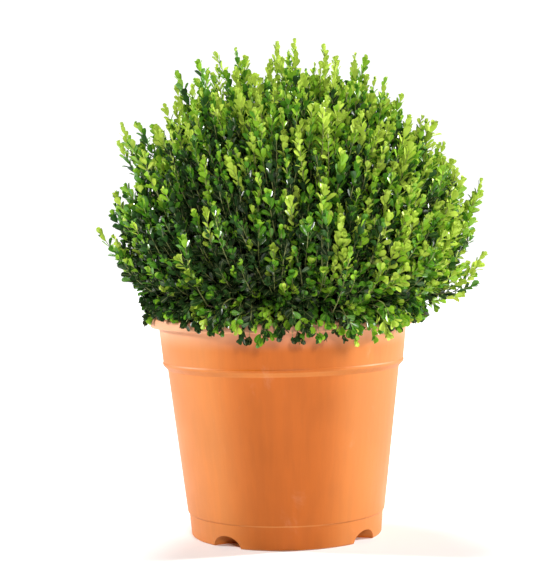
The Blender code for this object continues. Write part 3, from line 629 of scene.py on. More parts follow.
def leaf_finish(name, rgb, gloss):
    """Waxy leaf: glossy above by a thin clear coat, paler and duller below."""
    made, wires = new_finish(name)
    rib = (0.55 * c + 0.45 * pale for c, pale in zip(rgb, RIB_PALE))
    below = (min(1.0, 0.92 * c + 0.10 * pale) for c, pale in zip(rgb, BELOW_PALE))
    coords = wires.node("ShaderNodeTexCoord")
    face = wires.node("ShaderNodeGroup", {
        "Colour": (*rgb, 1.0), "Rib Colour": (*rib, 1.0), "Patches Per Metre": 55.0,
        "Low Roughness": 0.28, "High Roughness": 0.46, "Face": coords["UV"], "Place": coords["Object"],
    }, node_tree=effect_group("Leaf Face", LEAF_INPUTS, wire_leaf))
    behind = wires.node("ShaderNodeNewGeometry")["Backfacing"]
    tone = wires.mix(behind, face["Colour"], (*below, 1.0))
    rough = wires.math("MAXIMUM", face["Roughness"], wires.math("MULTIPLY", behind, 0.6))
    wires.surface(tone, rough, face["Height"], 0.25, 0.0004,
                  **{"Specular IOR Level": 0.03, "Coat Weight": gloss, "Coat Roughness": 0.22})
    return made


def plastic_finish(rgb):
    """Moulded plastic: faint cloudy colour, upright flow lines, dusty scuffs, a painted light that makes the
    top of the band and the lip paler, and a satin skin with a painted sheen that looks paler aslant."""
    made, wires = new_finish("Terracotta Plastic")
    cloudy = grain_node(wires, "Terracotta Plastic", rgb)
    flow = wires.noise(wires.object_place((1.0, 1.0, 0.05)), 120.0, 3.0, 0.6)
    tone = wires.scaled(cloudy["Colour"], wires.remap(flow, 0.35, 0.65, 0.955, 1.03))
    dust = wires.noise(wires.object_place((1.0, 1.0, 0.6)), 34.0, 6.0, 0.7, 0.4)
    dust = wires.remap(dust, 0.60, 0.80, 0.0, 0.10)
    tone = wires.mix(dust, tone, DUST)
    up = wires.node("ShaderNodeSeparateXYZ", {0: wires.object_place()})[2]
    # Painted light: the top of the band and the lip are mixed paler, as if lit from above; the dust frays its
    # edge.
    painted_lip_light = wires.remap(wires.math("ADD", up, wires.math("MULTIPLY", dust, 0.04)), 0.200, 0.224, 0.0, 0.30)
    tone = wires.mix(painted_lip_light, tone, PAINTED_LIP_LIGHT)
    # Painted sheen: the colour is mixed paler where the surface is seen aslant.
    aslant = wires.node("ShaderNodeLayerWeight", {"Blend": 0.4})["Facing"]
    tone = wires.mix(wires.remap(aslant, 0.02, 0.24, 0.0, 0.13), tone, PAINTED_SHEEN)
    rough = wires.math("ADD", cloudy["Roughness"], wires.math("MULTIPLY", dust, 0.9), clamp=True)
    ripple = wires.noise(wires.object_place((1.0, 1.0, 0.25)), 60.0)
    height = wires.math("ADD", ripple, wires.math("MULTIPLY", cloudy["Height"], 0.12))
    wires.surface(tone, rough, height, 0.30, 0.0010, **{"Specular IOR Level": 0.26})
    return made


# ---------------------------------------------------------------- pot
ARC_STEPS, LONGEST_STEP = 5, 0.012   # in each rounding, and along a straight stretch
BEAD = 0.0006                       # how far the lip's root and the band's bead stand out
PAST_FACE, POCKET_SINK = 0.0005, 0.0002     # a pocket's middle, out of the foot and under the ground
DRAIN_CUT = (-0.010, 0.015)         # from and to, along Z
POT_SHARP_DEG = 38


def arc_corner(before, corner, after, radius):
    """Points of the arc that touches both straight stretches at a corner of a profile."""
    to_before, to_after = unit(before - corner), unit(after - corner)
    half = math.acos(np.clip(to_before @ to_after, -1, 1)) / 2
    shortest = min(np.linalg.norm(before - corner), np.linalg.norm(after - corner))
    reach = min(radius / math.tan(half), 0.45 * shortest)
    inset = reach * math.tan(half)
    centre = corner + unit(to_before + to_after) * inset / math.sin(half)
    a, b = corner + to_before * reach - centre, corner + to_after * reach - centre
    turn = np.linspace(0, math.atan2(a[0] * b[1] - a[1] * b[0], a @ b), ARC_STEPS + 1)
    return centre + np.stack([
        a[0] * np.cos(turn) - a[1] * np.sin(turn), a[0] * np.sin(turn) + a[1] * np.cos(turn),
    ], axis=-1)


def pot_profile(pot):
    """The pot's section from the middle of its floor up the inside, over the rolled lip, down the
    band with its bead, the body and the foot, to the middle of its underside. Corners are (radius,
    height, rounding), joined by arcs, and long straight stretches are cut into even steps."""
    lip_z = pot.height - pot.lip_height
    bead = pot.band_bottom - BEAD
    corners = np.array([
        (0.0, pot.floor, 0),
        (pot.body_bottom_radius - pot.wall, pot.floor, 0.004),
        (pot.body_top_radius - pot.wall, pot.body_top - 0.0010, 0.002),
        (pot.band_bottom_radius - pot.wall, pot.band_bottom + 0.0010, 0.002),
        (pot.band_top_radius - pot.wall, pot.height - 0.0012, 0.0012),
        (pot.band_top_radius + BEAD, pot.height, 0.0016),
        (pot.lip_radius, pot.height, 0.0030),
        (pot.lip_radius, lip_z, 0.0022),
        (pot.band_top_radius + BEAD, lip_z - 0.0006, 0.0012),
        (pot.band_bottom_radius + 0.0002, bead + 0.0030, 0.0006),
        (pot.band_bottom_radius + 0.0008, bead + 0.0016, 0.0009),
        (pot.band_bottom_radius + 0.0002, bead - 0.0006, 0.0012),
        (pot.body_top_radius + 0.0004, pot.body_top, 0.0022),
        (pot.body_bottom_radius, pot.foot_top + 0.0008, 0.0006),
        (pot.foot_top_radius, pot.foot_top - 0.0010, 0.0006),
        (pot.foot_radius, 0.0, 0.0020),
        (0.0, 0.0, 0),
    ])
    flat = corners[:, :2]
    arcs = [arc_corner(*flat[i - 1 : i + 2], corners[i, 2]) for i in range(1, len(flat) - 1)]
    points = np.concatenate([flat[:1], *arcs, flat[-1:]])
    steps = [points[:1]]
    for a, b in zip(points, points[1:]):
        cuts = max(1, math.ceil(np.linalg.norm(b - a) / LONGEST_STEP))
        steps.append(a + (b - a) * (np.arange(1, cuts + 1) / cuts)[:, None])
    return np.concatenate(steps)


def ellipsoid(size, centre, turn):
    """A closed ellipsoid, size (cos b cos a, cos b sin a, sin b), moved to centre and turned round Z."""
    lean = np.linspace(-math.pi / 2, math.pi / 2, 21)
    points, faces, _ = revolved(np.stack([np.cos(lean), np.sin(lean)], axis=-1), 48)
    cos, sin = math.cos(turn), math.sin(turn)
    return (points * size + centre) @ np.array(((cos, sin, 0), (-sin, cos, 0), (0, 0, 1))), faces, None


def cut_away(piece, shape):
    """Takes the closed shape out of the piece with an applied Boolean."""
    cutter = mesh_piece("cutter", shape, piece.data.materials[0])
    change = piece.modifiers.new("Cut", "BOOLEAN")
    change.operation = "DIFFERENCE"
    change.solver = "EXACT"
    change.object = cutter
    bpy.context.view_layer.update()
    graph = bpy.context.evaluated_depsgraph_get()
    mesh = bpy.data.meshes.new_from_object(piece.evaluated_get(graph), depsgraph=graph)
    if len(mesh.polygons) == len(piece.data.polygons):
        raise RuntimeError("a drain pocket did not cut into the pot")
    piece.modifiers.clear()
    piece.data = mesh
    bpy.data.objects.remove(cutter, do_unlink=True)


def build_pot(settings):
    """The pot is its profile turned once round Z, with pockets and drain holes cut out."""
    pot = settings.pot
    shape = revolved(pot_profile(pot), pot.segments)
    piece = mesh_piece("pot_shell", shape, plastic_finish(settings.colours.plastic))
    size = np.array((pot.pocket_half_width, pot.pocket_depth, pot.pocket_height))
    low, high = DRAIN_CUT
    for step in range(pot.pockets):
        turn = pot.first_pocket + step * ROUND / pot.pockets
        cut_away(piece, ellipsoid(size, (0, -pot.foot_radius - PAST_FACE, -POCKET_SINK), turn))
        drain = turn + math.pi / pot.pockets
        hole, caps, _ = revolved(
            np.array([(0, low), (pot.drain_radius, low), (pot.drain_radius, high), (0, high)]), 32
        )
        hole += np.array((math.sin(drain), -math.cos(drain), 0)) * pot.drain_circle
        cut_away(piece, (hole, caps, None))
    piece.data.shade_smooth()
    piece.data.set_sharp_from_angle(angle=math.radians(POT_SHARP_DEG))
    stand_in_for(piece, "terracotta_plastic", "pot")


# ---------------------------------------------------------------- soil
SOIL_DROP, SOIL_MOUND, SOIL_EDGE, SOIL_FADE = 0.0022, 0.0020, 0.003, 0.008
SOIL_RINGS, SOIL_SEGMENTS = 60, 160
CLODS, CLODS_PER_METRE = 0.0012, 90
CRUMBS, CRUMBS_PER_METRE = 0.0009, 420
SOIL_GRAIN = 0.0015


def build_soil(settings):
    """Soil from the pot's floor up: the top is a low mound, SOIL_TOP less a fall that grows with the
    square of the radius, roughened by two sizes of noise that fade at the wall."""
    inside = np.array([(r, z) for r, z in pot_profile(settings.pot) if z <= SOIL_TOP - SOIL_EDGE])
    wall = inside[: np.argmax(inside[:, 1]) + 1] - np.array((2 * HAIR, -HAIR))
    wall[0, 0] = 0.0
    edge = wall[-1]
    radius = edge[0] * np.linspace(1, 0, SOIL_RINGS)[1:] ** 0.8
    top = np.stack([radius, SOIL_TOP - SOIL_DROP - SOIL_MOUND * (radius / edge[0]) ** 2], axis=-1)
    shape = revolved(np.concatenate([wall, top]), SOIL_SEGMENTS)
    points = shape[0]
    surface = (points[:, 2] > edge[1] + 1e-5) * np.clip((edge[0] - off_axis(points)) / SOIL_FADE, 0, 1)
    clods, crumbs = lumps(points, CLODS_PER_METRE, 5, 3), np.abs(lumps(points, CRUMBS_PER_METRE, 6))
    points[:, 2] += surface * (CLODS * clods + CRUMBS * crumbs)
    finish = grained_finish("Potting Soil", settings.colours.soil, SOIL_GRAIN)
    stand_in_for(mesh_piece("soil_bed", shape, finish), "potting_soil", "soil")


# ---------------------------------------------------------------- the ball
def ball_gauge(offset, ball):
    """How far points are from the ball's centre, as a share of its reach that way:
    ((flat / radius)^q + (|height| / above or below)^q)^(1 / q)."""
    flat = off_axis(offset) / ball.radius
    tall = np.abs(offset[..., 2]) / np.where(offset[..., 2] > 0, ball.above, ball.below)
    return (flat**ball.roundness + tall**ball.roundness) ** (1 / ball.roundness)


def ways_at(turn, rise):
    """Unit vectors (cos t cos r, sin t cos r, sin r)."""
    turn, rise = np.broadcast_arrays(turn, rise)
    return np.stack([np.cos(turn) * np.cos(rise), np.sin(turn) * np.cos(rise), np.sin(rise)], axis=-1)


def ball_points(turn, rise, reach, ball):
    """Points at a share of the ball's reach, along a turn round Z and a rise above level."""
    way = ways_at(turn, rise)
    return np.array(ball.centre) + way * (reach / ball_gauge(way, ball))[..., None]


def angles_of(points, ball):
    """Turn and rise of points as seen from the ball's centre."""
    offset = points - np.array(ball.centre)
    return np.arctan2(offset[..., 1], offset[..., 0]), np.arctan2(offset[..., 2], off_axis(offset))


def cell_ways(ball):
    """Turn and rise of the middle of each mass, skirt first, then shoulder, then crown."""
    low, high = (ball.skirt_bottom + ball.skirt_top) / 2, (ball.skirt_top + ball.shoulder_top) / 2
    skirt, shoulder = even_turns(SKIRT_MASSES), even_turns(SHOULDER_MASSES)
    turns = np.concatenate([ball.skirt_turn + skirt, ball.shoulder_turn + shoulder, [0.0]])
    return turns, np.repeat([low, high, math.pi / 2], [SKIRT_MASSES, SHOULDER_MASSES, 1])


def cell_numbers(points, ball):
    """Which mass each point belongs to: by its rise, then by the nearest turn in that tier."""
    turn, rise = angles_of(points, ball)
    apart = np.abs((turn[:, None] - cell_ways(ball)[0] + math.pi) % ROUND - math.pi)
    in_skirt = np.argmin(apart[:, :SKIRT_MASSES], axis=1)
    in_shoulder = SKIRT_MASSES + np.argmin(apart[:, SKIRT_MASSES:-1], axis=1)
    above = np.where(rise < ball.shoulder_top, in_shoulder, SKIRT_MASSES + SHOULDER_MASSES)
    return np.where(rise < ball.skirt_top, in_skirt, above)


# ---------------------------------------------------------------- stem and boughs
STEM_RINGS, STEM_SIDES, BOUGH_RINGS, BOUGH_SIDES = 120, 72, 44, 20
FLARE_HEIGHT, FLARE_LOBES, FLARE_RELIEF = 0.016, 5, 0.16
STEM_LEAVES, STEM_ARRIVES = 0.9, 1.1
BOUGH_OUT, BOUGH_UP, BOUGH_ARRIVES = 0.8, 0.75, 0.8
BARK_STRETCH, BARK_GRAIN = (1.0, 1.0, 0.35), 0.0008
PLATES_PER_METRE, CRACKS_PER_METRE, PLATE_STRETCH = 300, 700, (1.0, 1.0, 0.32)
MOST_RELIEF = 0.16                  # of a limb's mean radius


def tapered(first, last, steps):
    """The radius at each step of an even taper."""
    return first + (last - first) * steps


def stem_line(ball, rings):
    """The stem: upright out of the soil, then across to the middle of the ball."""
    foot = np.array((0.0, 0.0, SOIL_TOP + HAIR))
    top = ball_points(0.0, math.pi / 2, ball.inner, ball) - UP * HAIR
    rise = UP * np.linalg.norm(top - foot)
    return hermite(
        foot[None], rise[None] * STEM_LEAVES, top[None], rise[None] * STEM_ARRIVES,
        np.linspace(0, 1, rings)[None],
    )


def limb_tube(points, ways, radii, sides, limbs, seed, swell=1.0):
    """A limb with bark: the tube is worked out once to find its surface, then again with each radius
    scaled by upright furrows between corky plates, as deep as the relief."""
    shell = tubes(points, ways, radii, sides)[0].reshape(*radii.shape, sides, 3)
    relief = min(limbs.bark_relief, float(radii.mean()) * MOST_RELIEF)
    plates = np.abs(lumps(shell * np.array(PLATE_STRETCH), PLATES_PER_METRE, seed)) * 2 - 0.5
    cracks = lumps(shell, CRACKS_PER_METRE, seed + 9) * 0.4
    rough = 1 + np.clip(plates + cracks, -1, 1) * relief / radii[:, :, None]
    return tubes(points, ways, radii, sides, rough * swell)


def bough_lines(ball, limbs):
    """Every bough, a row each: from inside the stem, up and out, to the inner side of its mass."""
    turns, rises = (values[:-1] for values in cell_ways(ball))
    order = np.arange(len(turns))
    height = np.where(order < SKIRT_MASSES, limbs.skirt_bough_height, limbs.shoulder_bough_height)
    height = height + limbs.bough_stagger * (order * 2 % 5)
    line = stem_line(ball, 200)[0][0]
    start = np.stack([np.interp(height, line[:, 2], line[:, k]) for k in range(3)], axis=-1)
    way = ways_at(turns, rises)
    end = ball_points(turns, rises, ball.inner, ball) - way * HAIR
    span = np.linalg.norm(end - start, axis=1, keepdims=True)
    leave = unit(ways_at(turns, 0.0) * BOUGH_OUT + UP * BOUGH_UP) * span
    return hermite(start, leave, end, way * span * BOUGH_ARRIVES, np.linspace(0, 1, BOUGH_RINGS)[None])


def build_limbs(settings):
    """The stem, whose radius tapers evenly and flares at its foot as exp(-6 share), with a few root
    lobes, and one tapering bough for each mass but the crown."""
    limbs, ball = settings.limbs, settings.ball
    bark = grained_finish("Boxwood Bark", settings.colours.bark, BARK_GRAIN, BARK_STRETCH)
    steps = np.linspace(0, 1, STEM_RINGS)
    points, ways = stem_line(ball, STEM_RINGS)
    radii = tapered(limbs.stem_radius, limbs.stem_tip_radius, steps)
    radii = radii + (limbs.stem_foot_radius - limbs.stem_radius) * np.exp(-6 * steps)
    low = np.clip(1 - (points[0, :, 2] - points[0, 0, 2]) / FLARE_HEIGHT, 0, 1)
    lobes = 1 + FLARE_RELIEF * low[None, :, None] * np.cos(FLARE_LOBES * even_turns(STEM_SIDES))
    stem = limb_tube(points, ways, radii[None], STEM_SIDES, limbs, 11, lobes)
    stand_in_for(mesh_piece("stem_bark", stem, bark), "bark", "stem")
    points, ways = bough_lines(ball, limbs)
    radii = tapered(limbs.bough_radius, limbs.bough_tip_radius, np.linspace(0, 1, BOUGH_RINGS))
    boughs = limb_tube(points, ways, np.tile(radii, (len(points), 1)), BOUGH_SIDES, limbs, 17)
    stand_in_for(mesh_piece("bough_bark", boughs, bark), "bark", *BOUGHS)


# ---------------------------------------------------------------- shoots
CLUMP_REACH = 0.055                 # how far the ball's surface rises and falls in clumps
CLEAR_OF_TALL_DEG = 11.5            # main shoots keep this far from the placed ones
BASE_LIFT = 0.42                    # a shoot's foot turns up by this share of its lift
END_LEAN, BASE_LEAN = 9, 8          # random lean, in degrees
MAIN_REACH, OUTER_REACH, INNER_REACH = (-0.03, 0.055), (0.82, 0.980), (0.68, 0.85)
SPIRAL_SPREAD, HEM_SPREAD = 0.3, 0.4        # how far tips stray, as a share of their spacing
TUFT_DROPS = (0.5, 1.3)
HEM_OFF_LIP, HEM_FRONT, HEM_SIDE, HEM_LEFT = (0.005, 0.013), (-0.024, -0.004), (-0.006, 0.006), 0.016
HANGING_RISE, HANGING_UP = 0.35, 0.006      # shoots hang this near over the hem and the pot's lip
HANG_OUT, HANG_DOWN, HANG_START = 0.55, 0.85, 0.15
LENGTHS, OPENINGS, LEAF_GROWTH, SPACINGS = (0.85, 1.15), (0.80, 1.25), (0.80, 1.18), (0.90, 1.10)
SPRIG_BRIGHT, SPRIG_GROWTH = 0.3, 1.22      # brighter shoots are sprigs, with larger leaves
BOX_MARGIN = 0.002
LAST_LEAF = 0.004                   # how far the last leaves reach past a shoot's end
FOOT_CLEARANCE, LIP_CLEARANCE, TWIG_CLEARANCE = 0.006, 0.0022, 0.003
FOOT_LIFT, FOOT_UP = 0.008, 0.02    # feet over the lip are raised by up to this and start upwards
LOW_TIPS = 0.24                     # the height under which shoots are low and shaded
TWIG_RADIUS, TWIG_POWER, TWIG_GRAIN = 0.00075, 0.19, 0.0003
SHOOT_RADIUS, SHOOT_THINNING, SHOOT_GRAIN = 0.00072, 0.00034, 0.0002
TWIG_KINDS = ((6, math.inf, 7, 6), (2, 5, 4, 3), (1, 1, 3, 3))   # fewest and most shoots, rings, sides
FORK_FOLLOWS = 0.7                  # how far a fork turns to the way of its shoots


def golden_spiral(steps):
    """Turn and rise of points spread evenly over a sphere, each a golden turn on from the last."""
    step = np.arange(steps)
    return step * math.pi * (3 - math.sqrt(5)), np.arcsin(1 - 2 * (step + 0.5) / steps)


def spiral_tips(steps, settings, low, high, rng):
    """Tips spread evenly over the ball, down to the hem, at reaches between low and high that rise
    and fall together in soft clumps."""
    turn, rise = golden_spiral(steps)
    spacing = math.sqrt(4 * math.pi / steps)
    rise = rise + rng.uniform(-SPIRAL_SPREAD, SPIRAL_SPREAD, steps) * spacing
    turn = turn + rng.uniform(-SPIRAL_SPREAD, SPIRAL_SPREAD, steps) * spacing
    rise = np.clip(rise, -math.pi / 2, math.pi / 2)
    reach = rng.uniform(low, high, steps) + CLUMP_REACH * lumps(ways_at(turn, rise), 3.4, SEED)
    kept = rise > settings.shoots.hem_rise
    return ball_points(turn[kept], rise[kept], reach[kept], settings.ball)


def main_tips(ball, shoots):
    """The main shoots of the solids: an even spiral with seeded reaches, clear of the placed ones."""
    draw = random.Random(SEED)
    reach = np.array([1.0 + draw.uniform(*MAIN_REACH) for _ in range(shoots.source)])
    turn, rise = golden_spiral(shoots.source)
    kept = rise >= shoots.hem_rise
    tips = ball_points(turn[kept], rise[kept], reach[kept], ball)
    centre = np.array(ball.centre)
    tall = unit(np.concatenate([LEADERS, DROOPERS]) - centre)
    return tips[np.max(unit(tips - centre) @ tall.T, axis=1) < math.cos(math.radians(CLEAR_OF_TALL_DEG))]


def tufted(tips, each, drop, spread, settings, rng):
    """Side shoots round each tip: back along its shoot by about drop and off by about spread."""
    end_way = np.repeat(shoot_ways(tips, settings.ball, settings.shoots)[0], each, axis=0)
    offset = rng.normal(0, spread, end_way.shape)
    offset -= end_way * (dot(offset, end_way) + rng.uniform(*TUFT_DROPS, (len(end_way), 1)) * drop)
    return np.repeat(tips, each, axis=0) + offset


def front_and_back(tips, ball):
    """The tips, and the same tips turned a third and two thirds of the way round the ball."""
    turn, rise = angles_of(tips, ball)
    turned = [ball_points(turn + third * ROUND / 3, rise, np.ones(len(tips)), ball) for third in (1, 2)]
    return np.concatenate([tips, *turned])


def hem_tips(steps, pot, rng):
    """Tips all round the pot that hang over its lip, lower in front and behind, higher on the left."""
    turn = (np.arange(steps) + rng.uniform(-HEM_SPREAD, HEM_SPREAD, steps)) * 2 * math.pi / steps
    radius = pot.lip_radius + rng.uniform(*HEM_OFF_LIP, steps)
    front = np.sin(turn) ** 2
    up = pot.height + rng.uniform(*HEM_FRONT, steps) * front
    up = up + rng.uniform(*HEM_SIDE, steps) * (1 - front)
    up += HEM_LEFT * np.clip(-np.cos(turn) * 1.4 - 0.3, 0, 1)
    return np.stack([np.cos(turn) * radius, np.sin(turn) * radius, up], axis=-1)


def fallen_back(tips, ball):
    """Tips drawn in towards the ball's centre where it has hollows, by depth exp(-(off / width)^2)."""
    offset = tips - np.array(ball.centre)
    turn, rise, width, depth = np.array(HOLLOWS).T
    ways = ways_at(np.radians(turn), np.radians(rise))
    off = np.degrees(np.arccos(np.clip(unit(offset) @ ways.T, -1, 1)))
    return np.array(ball.centre) + offset * (1 - (depth * np.exp(-((off / width) ** 2))).sum(axis=1))[:, None]


def over_the_lip(tips, pot, shoots):
    """Tips that would lie on the lip are moved straight out past it."""
    flat = off_axis(tips)
    needed = pot.lip_radius + shoots.hem_clearance
    near = (tips[:, 2] < pot.height + shoots.hem_clearance) & (flat < needed)
    scale = np.where(near, needed / np.maximum(flat, 1e-6), 1.0)
    return tips * np.stack([scale, scale, np.ones(len(tips))], axis=-1)


def shoot_ways(tips, ball, shoots):
    """The way each shoot ends and the way it starts: outwards and turned up by the lift, which
    grows with the rise, is nothing at the level rise and hangs at the hem. It starts flatter."""
    turn, rise = angles_of(tips, ball)
    out, level = ways_at(turn, rise), ways_at(turn, 0.0)
    grown = np.clip((rise - shoots.level_rise) / shoots.upturn_span, shoots.droop, 1.0)
    lift = (shoots.lift * grown)[:, None] * UP
    hanging = ((rise < shoots.hem_rise + HANGING_RISE) & (tips[:, 2] < POT_TOP + HANGING_UP))[:, None]
    end_way = np.where(hanging, unit(level * HANG_OUT - UP * HANG_DOWN), unit(out + lift))
    return end_way, np.where(hanging, unit(level + UP * HANG_START), unit(out + lift * BASE_LIFT))


def rise_share(points, low, span):
    """How high points stand: 0 at the height low and 1 a span above it."""
    return np.clip((points[:, 2] - low) / span, 0, 1)


def make_shoots(settings, rng):
    """Every shoot as arrays: tip, foot, their ways, length, pairs of leaves, brightness, and how
    open, large and far apart its leaves are."""
    ball, pot, shoots = settings.ball, settings.pot, settings.shoots
    main = fallen_back(main_tips(ball, shoots), ball)
    outer = fallen_back(spiral_tips(shoots.outer, settings, *OUTER_REACH, rng), ball)
    groups = (
        # tips, length, pairs, brightness, openness
        (LEADERS, 1.35, 12, 0.14, 0.8),
        (tufted(LEADERS, 3, 0.020, 0.008, settings, rng), 1.15, 10, 0.11, 0.9),
        (SPIRES, 1.35, 12, 0.12, 0.8),
        (tufted(SPIRES, 2, 0.022, 0.006, settings, rng), 1.15, 10, 0.11, 0.9),
        (DROOPERS, 0.8, 6, 0.15, 1.0),
        (tufted(DROOPERS, 3, 0.006, 0.009, settings, rng), 0.7, 5, -0.12, 1.0),
        (hem_tips(shoots.hem, pot, rng), 0.7, 5, -0.22, 1.0),
        (front_and_back(SPRIGS, ball), 1.3, 12, 0.45, 0.9),
        (main, 1.2, 12, 0.12, 1.0),
        (tufted(main, 2, 0.014, 0.008, settings, rng), 1.0, 9, 0.05, 1.0),
        (outer, 1.0, 9, 0.0, 1.0),
        # Painted shade: the inner shoots' leaves are made darker, as shaded inside the ball.
        (spiral_tips(shoots.inner, settings, *INNER_REACH, rng), 0.8, 5, -0.32, 1.0),
    )
    tips = np.concatenate([one[0] for one in groups])
    counts = [len(one[0]) for one in groups]
    size, pairs, bright, openness = np.repeat([one[1:] for one in groups], counts, axis=0).T
    tips = np.clip(over_the_lip(tips, pot, shoots), BOX_LOW + BOX_MARGIN, BOX_HIGH - BOX_MARGIN)
    end_way, base_way = shoot_ways(tips, ball, shoots)
    end_way, base_way = jittered(end_way, END_LEAN, rng), jittered(base_way, BASE_LEAN, rng)
    tips = tips - end_way * LAST_LEAF
    span = shoots.length * size * rng.uniform(*LENGTHS, len(tips))
    foot = tips - (end_way + base_way) * span[:, None] / 2
    floor = pot.height + FOOT_CLEARANCE
    sunk = (foot[:, 2] < floor) & (off_axis(foot) < pot.lip_radius + FOOT_CLEARANCE)
    foot[:, 2] = np.where(sunk, floor + rng.uniform(0, FOOT_LIFT, len(foot)), foot[:, 2])
    base_way = np.where(sunk[:, None], unit(tips - foot + UP * FOOT_UP), base_way)
    height = rise_share(tips, LOW_TIPS, 0.20)
    opened = openness * (1.5 - 0.5 * height) * rng.uniform(*OPENINGS, len(tips))
    leafy = (0.94 + 0.06 * height) * rng.uniform(*LEAF_GROWTH, len(tips))
    leafy = leafy * np.where(bright > SPRIG_BRIGHT, SPRIG_GROWTH, 1.0)
    spaced = (1.30 - 0.30 * height) * rng.uniform(*SPACINGS, len(tips))
    return {
        "tip": tips, "foot": foot, "end_way": end_way, "base_way": base_way, "span": span,
        "pairs": pairs.astype(int), "bright": bright, "open": opened, "leafy": leafy, "spaced": spaced,
    }


def lifted_over_lip(points, pot, clearance):
    """Points that would lie in the lip, raised to pass just over it."""
    flat = off_axis(points)
    near = (flat > pot.band_top_radius - pot.wall - clearance) & (flat < pot.lip_radius + clearance)
    raised = np.where(near, np.maximum(points[..., 2], pot.height + clearance), points[..., 2])
    return np.concatenate([points[..., :2], raised[..., None]], axis=-1)


def shoot_line(shoot, steps, pot):
    """Points and ways along every shoot at the given shares of its length."""
    span = shoot["span"][:, None]
    points, ways = hermite(
        shoot["foot"], shoot["base_way"] * span, shoot["tip"], shoot["end_way"] * span, steps
    )
    return lifted_over_lip(points, pot, LIP_CLEARANCE), ways


def fork_twigs(foot, foot_way, feet, ways, reach):
    """Twigs from foot to every shoot's foot: a twig runs a share of the way to their middle, the
    set is halved across its widest side, and each half goes on from there."""
    twigs, waiting = [], [(foot, foot_way, np.arange(len(feet)))]
    while waiting:
        start, start_way, own = waiting.pop()
        if len(own) == 1:
            twigs.append((start, start_way, feet[own[0]], ways[own[0]], 1))
            continue
        middle = feet[own].mean(axis=0)
        fork = start + (middle - start) * reach
        fork_way = unit(unit(middle - start) + unit(ways[own].mean(axis=0)) * FORK_FOLLOWS)
        twigs.append((start, start_way, fork, fork_way, len(own)))
        widest = np.argmax(np.ptp(feet[own], axis=0))
        ordered = own[np.argsort(feet[own][:, widest], kind="stable")]
        half = len(ordered) // 2
        waiting += [(fork, fork_way, ordered[:half]), (fork, fork_way, ordered[half:])]
    return twigs


def build_twigs(settings, shoot):
    """Woody twigs from each bough's tip to the shoots of its mass. A twig that carries n shoots is
    TWIG_RADIUS times n to the power TWIG_POWER, and thick ones are rounder."""
    ball = settings.ball
    numbers = cell_numbers(shoot["tip"], ball)
    twigs = []
    for cell, (turn, rise) in enumerate(zip(*cell_ways(ball))):
        own = numbers == cell
        out = ways_at(turn, rise)
        foot, neck = (ball_points(turn, rise, reach, ball) for reach in (ball.inner, ball.neck))
        twigs.append((foot, out, neck, out, int(own.sum())))
        twigs += fork_twigs(neck, out, shoot["foot"][own], shoot["base_way"][own], settings.shoots.twig_reach)
    start, start_way, end, end_way, carried = (np.array(column) for column in zip(*twigs))
    span = np.linalg.norm(end - start, axis=1, keepdims=True)
    shapes = []
    for fewest, most, rings, sides in TWIG_KINDS:
        some = (carried >= fewest) & (carried <= most)
        line, ways = hermite(
            start[some], start_way[some] * span[some], end[some], end_way[some] * span[some],
            np.linspace(0, 1, rings)[None],
        )
        line = lifted_over_lip(line, settings.pot, TWIG_CLEARANCE)
        first, last = (
            (TWIG_RADIUS * n**TWIG_POWER)[:, None] for n in (carried[some], np.maximum(carried[some] / 2, 1))
        )
        shapes.append(tubes(line, ways, tapered(first, last, np.linspace(0, 1, rings)), sides))
    finish = grained_finish("Twig Skin", settings.colours.twig, TWIG_GRAIN)
    stand_in_for(mesh_piece("twigs", joined(shapes), finish), "bark", *MASSES)


def build_shoots(settings, shoot):
    """Green shoots: slim three-sided tubes that thin towards their tips."""
    steps = np.linspace(0, 1, 5)[None]
    line, ways = shoot_line(shoot, steps, settings.pot)
    radii = np.repeat(SHOOT_RADIUS - SHOOT_THINNING * steps, len(line), axis=0)
    finish = grained_finish("Green Shoot", settings.colours.shoot, SHOOT_GRAIN)
    stand_in_for(mesh_piece("green_shoots", tubes(line, ways, radii, 3), finish), "bark", *MASSES)


# ---------------------------------------------------------------- leaves
FULL_ROWS, PLAIN_ROWS = (0.16, 0.46, 0.77, 0.94), (0.28, 0.66, 0.91)   # shares of a leaf's length
# Leaves go to these colours by tone, which is partly age and partly painted light and shade.
TONES = (
    # name, lowest tone, gloss, rows
    ("young", 0.84, 0.30, FULL_ROWS),
    ("fresh", 0.60, 0.45, FULL_ROWS),
    ("grown", 0.39, 0.60, FULL_ROWS),
    ("deep", 0.20, 0.75, FULL_ROWS),
    ("shade", -9.0, 0.40, PLAIN_ROWS),
)
MOST_LEAVES = 9500                  # in one piece
FROM_TIP = (0.0008, 0.0030, 0.0064, 0.0110, 0.0165)     # the first pairs, back from a shoot's end
# What a spray's tone gains on each pair, from the tip down, for younger leaves at the tip and painted shade
# deeper in, and across the ball, from left to right, a painted light that is brighter on the right.
PAIR_TONES = (0.16, 0.12, 0.06, -0.02, -0.11, -0.19, -0.26, -0.31, -0.35, -0.38)
SIDE_TONES = ((-0.19, -0.145, -0.09, 0.0, 0.20), (-0.46, -0.26, -0.04, 0.0, 0.24))
LEAN_AT_TIP, LEAN_STEP, LEAN_MOST = 9, 5, 36            # how a pair opens, in degrees
SMALLEST, LOW_GROWN, PAIR_GROWN = 0.42, 0.36, 0.17      # a leaf's size at the tip, and what adds to it
LIT_UP, LIT_OUT = 0.22, 0.40                            # how far faces turn up, and out low down
TURN_JITTER, LEAN_JITTER, FACE_JITTER, TONE_JITTER = 0.32, 8, 0.48, 0.13
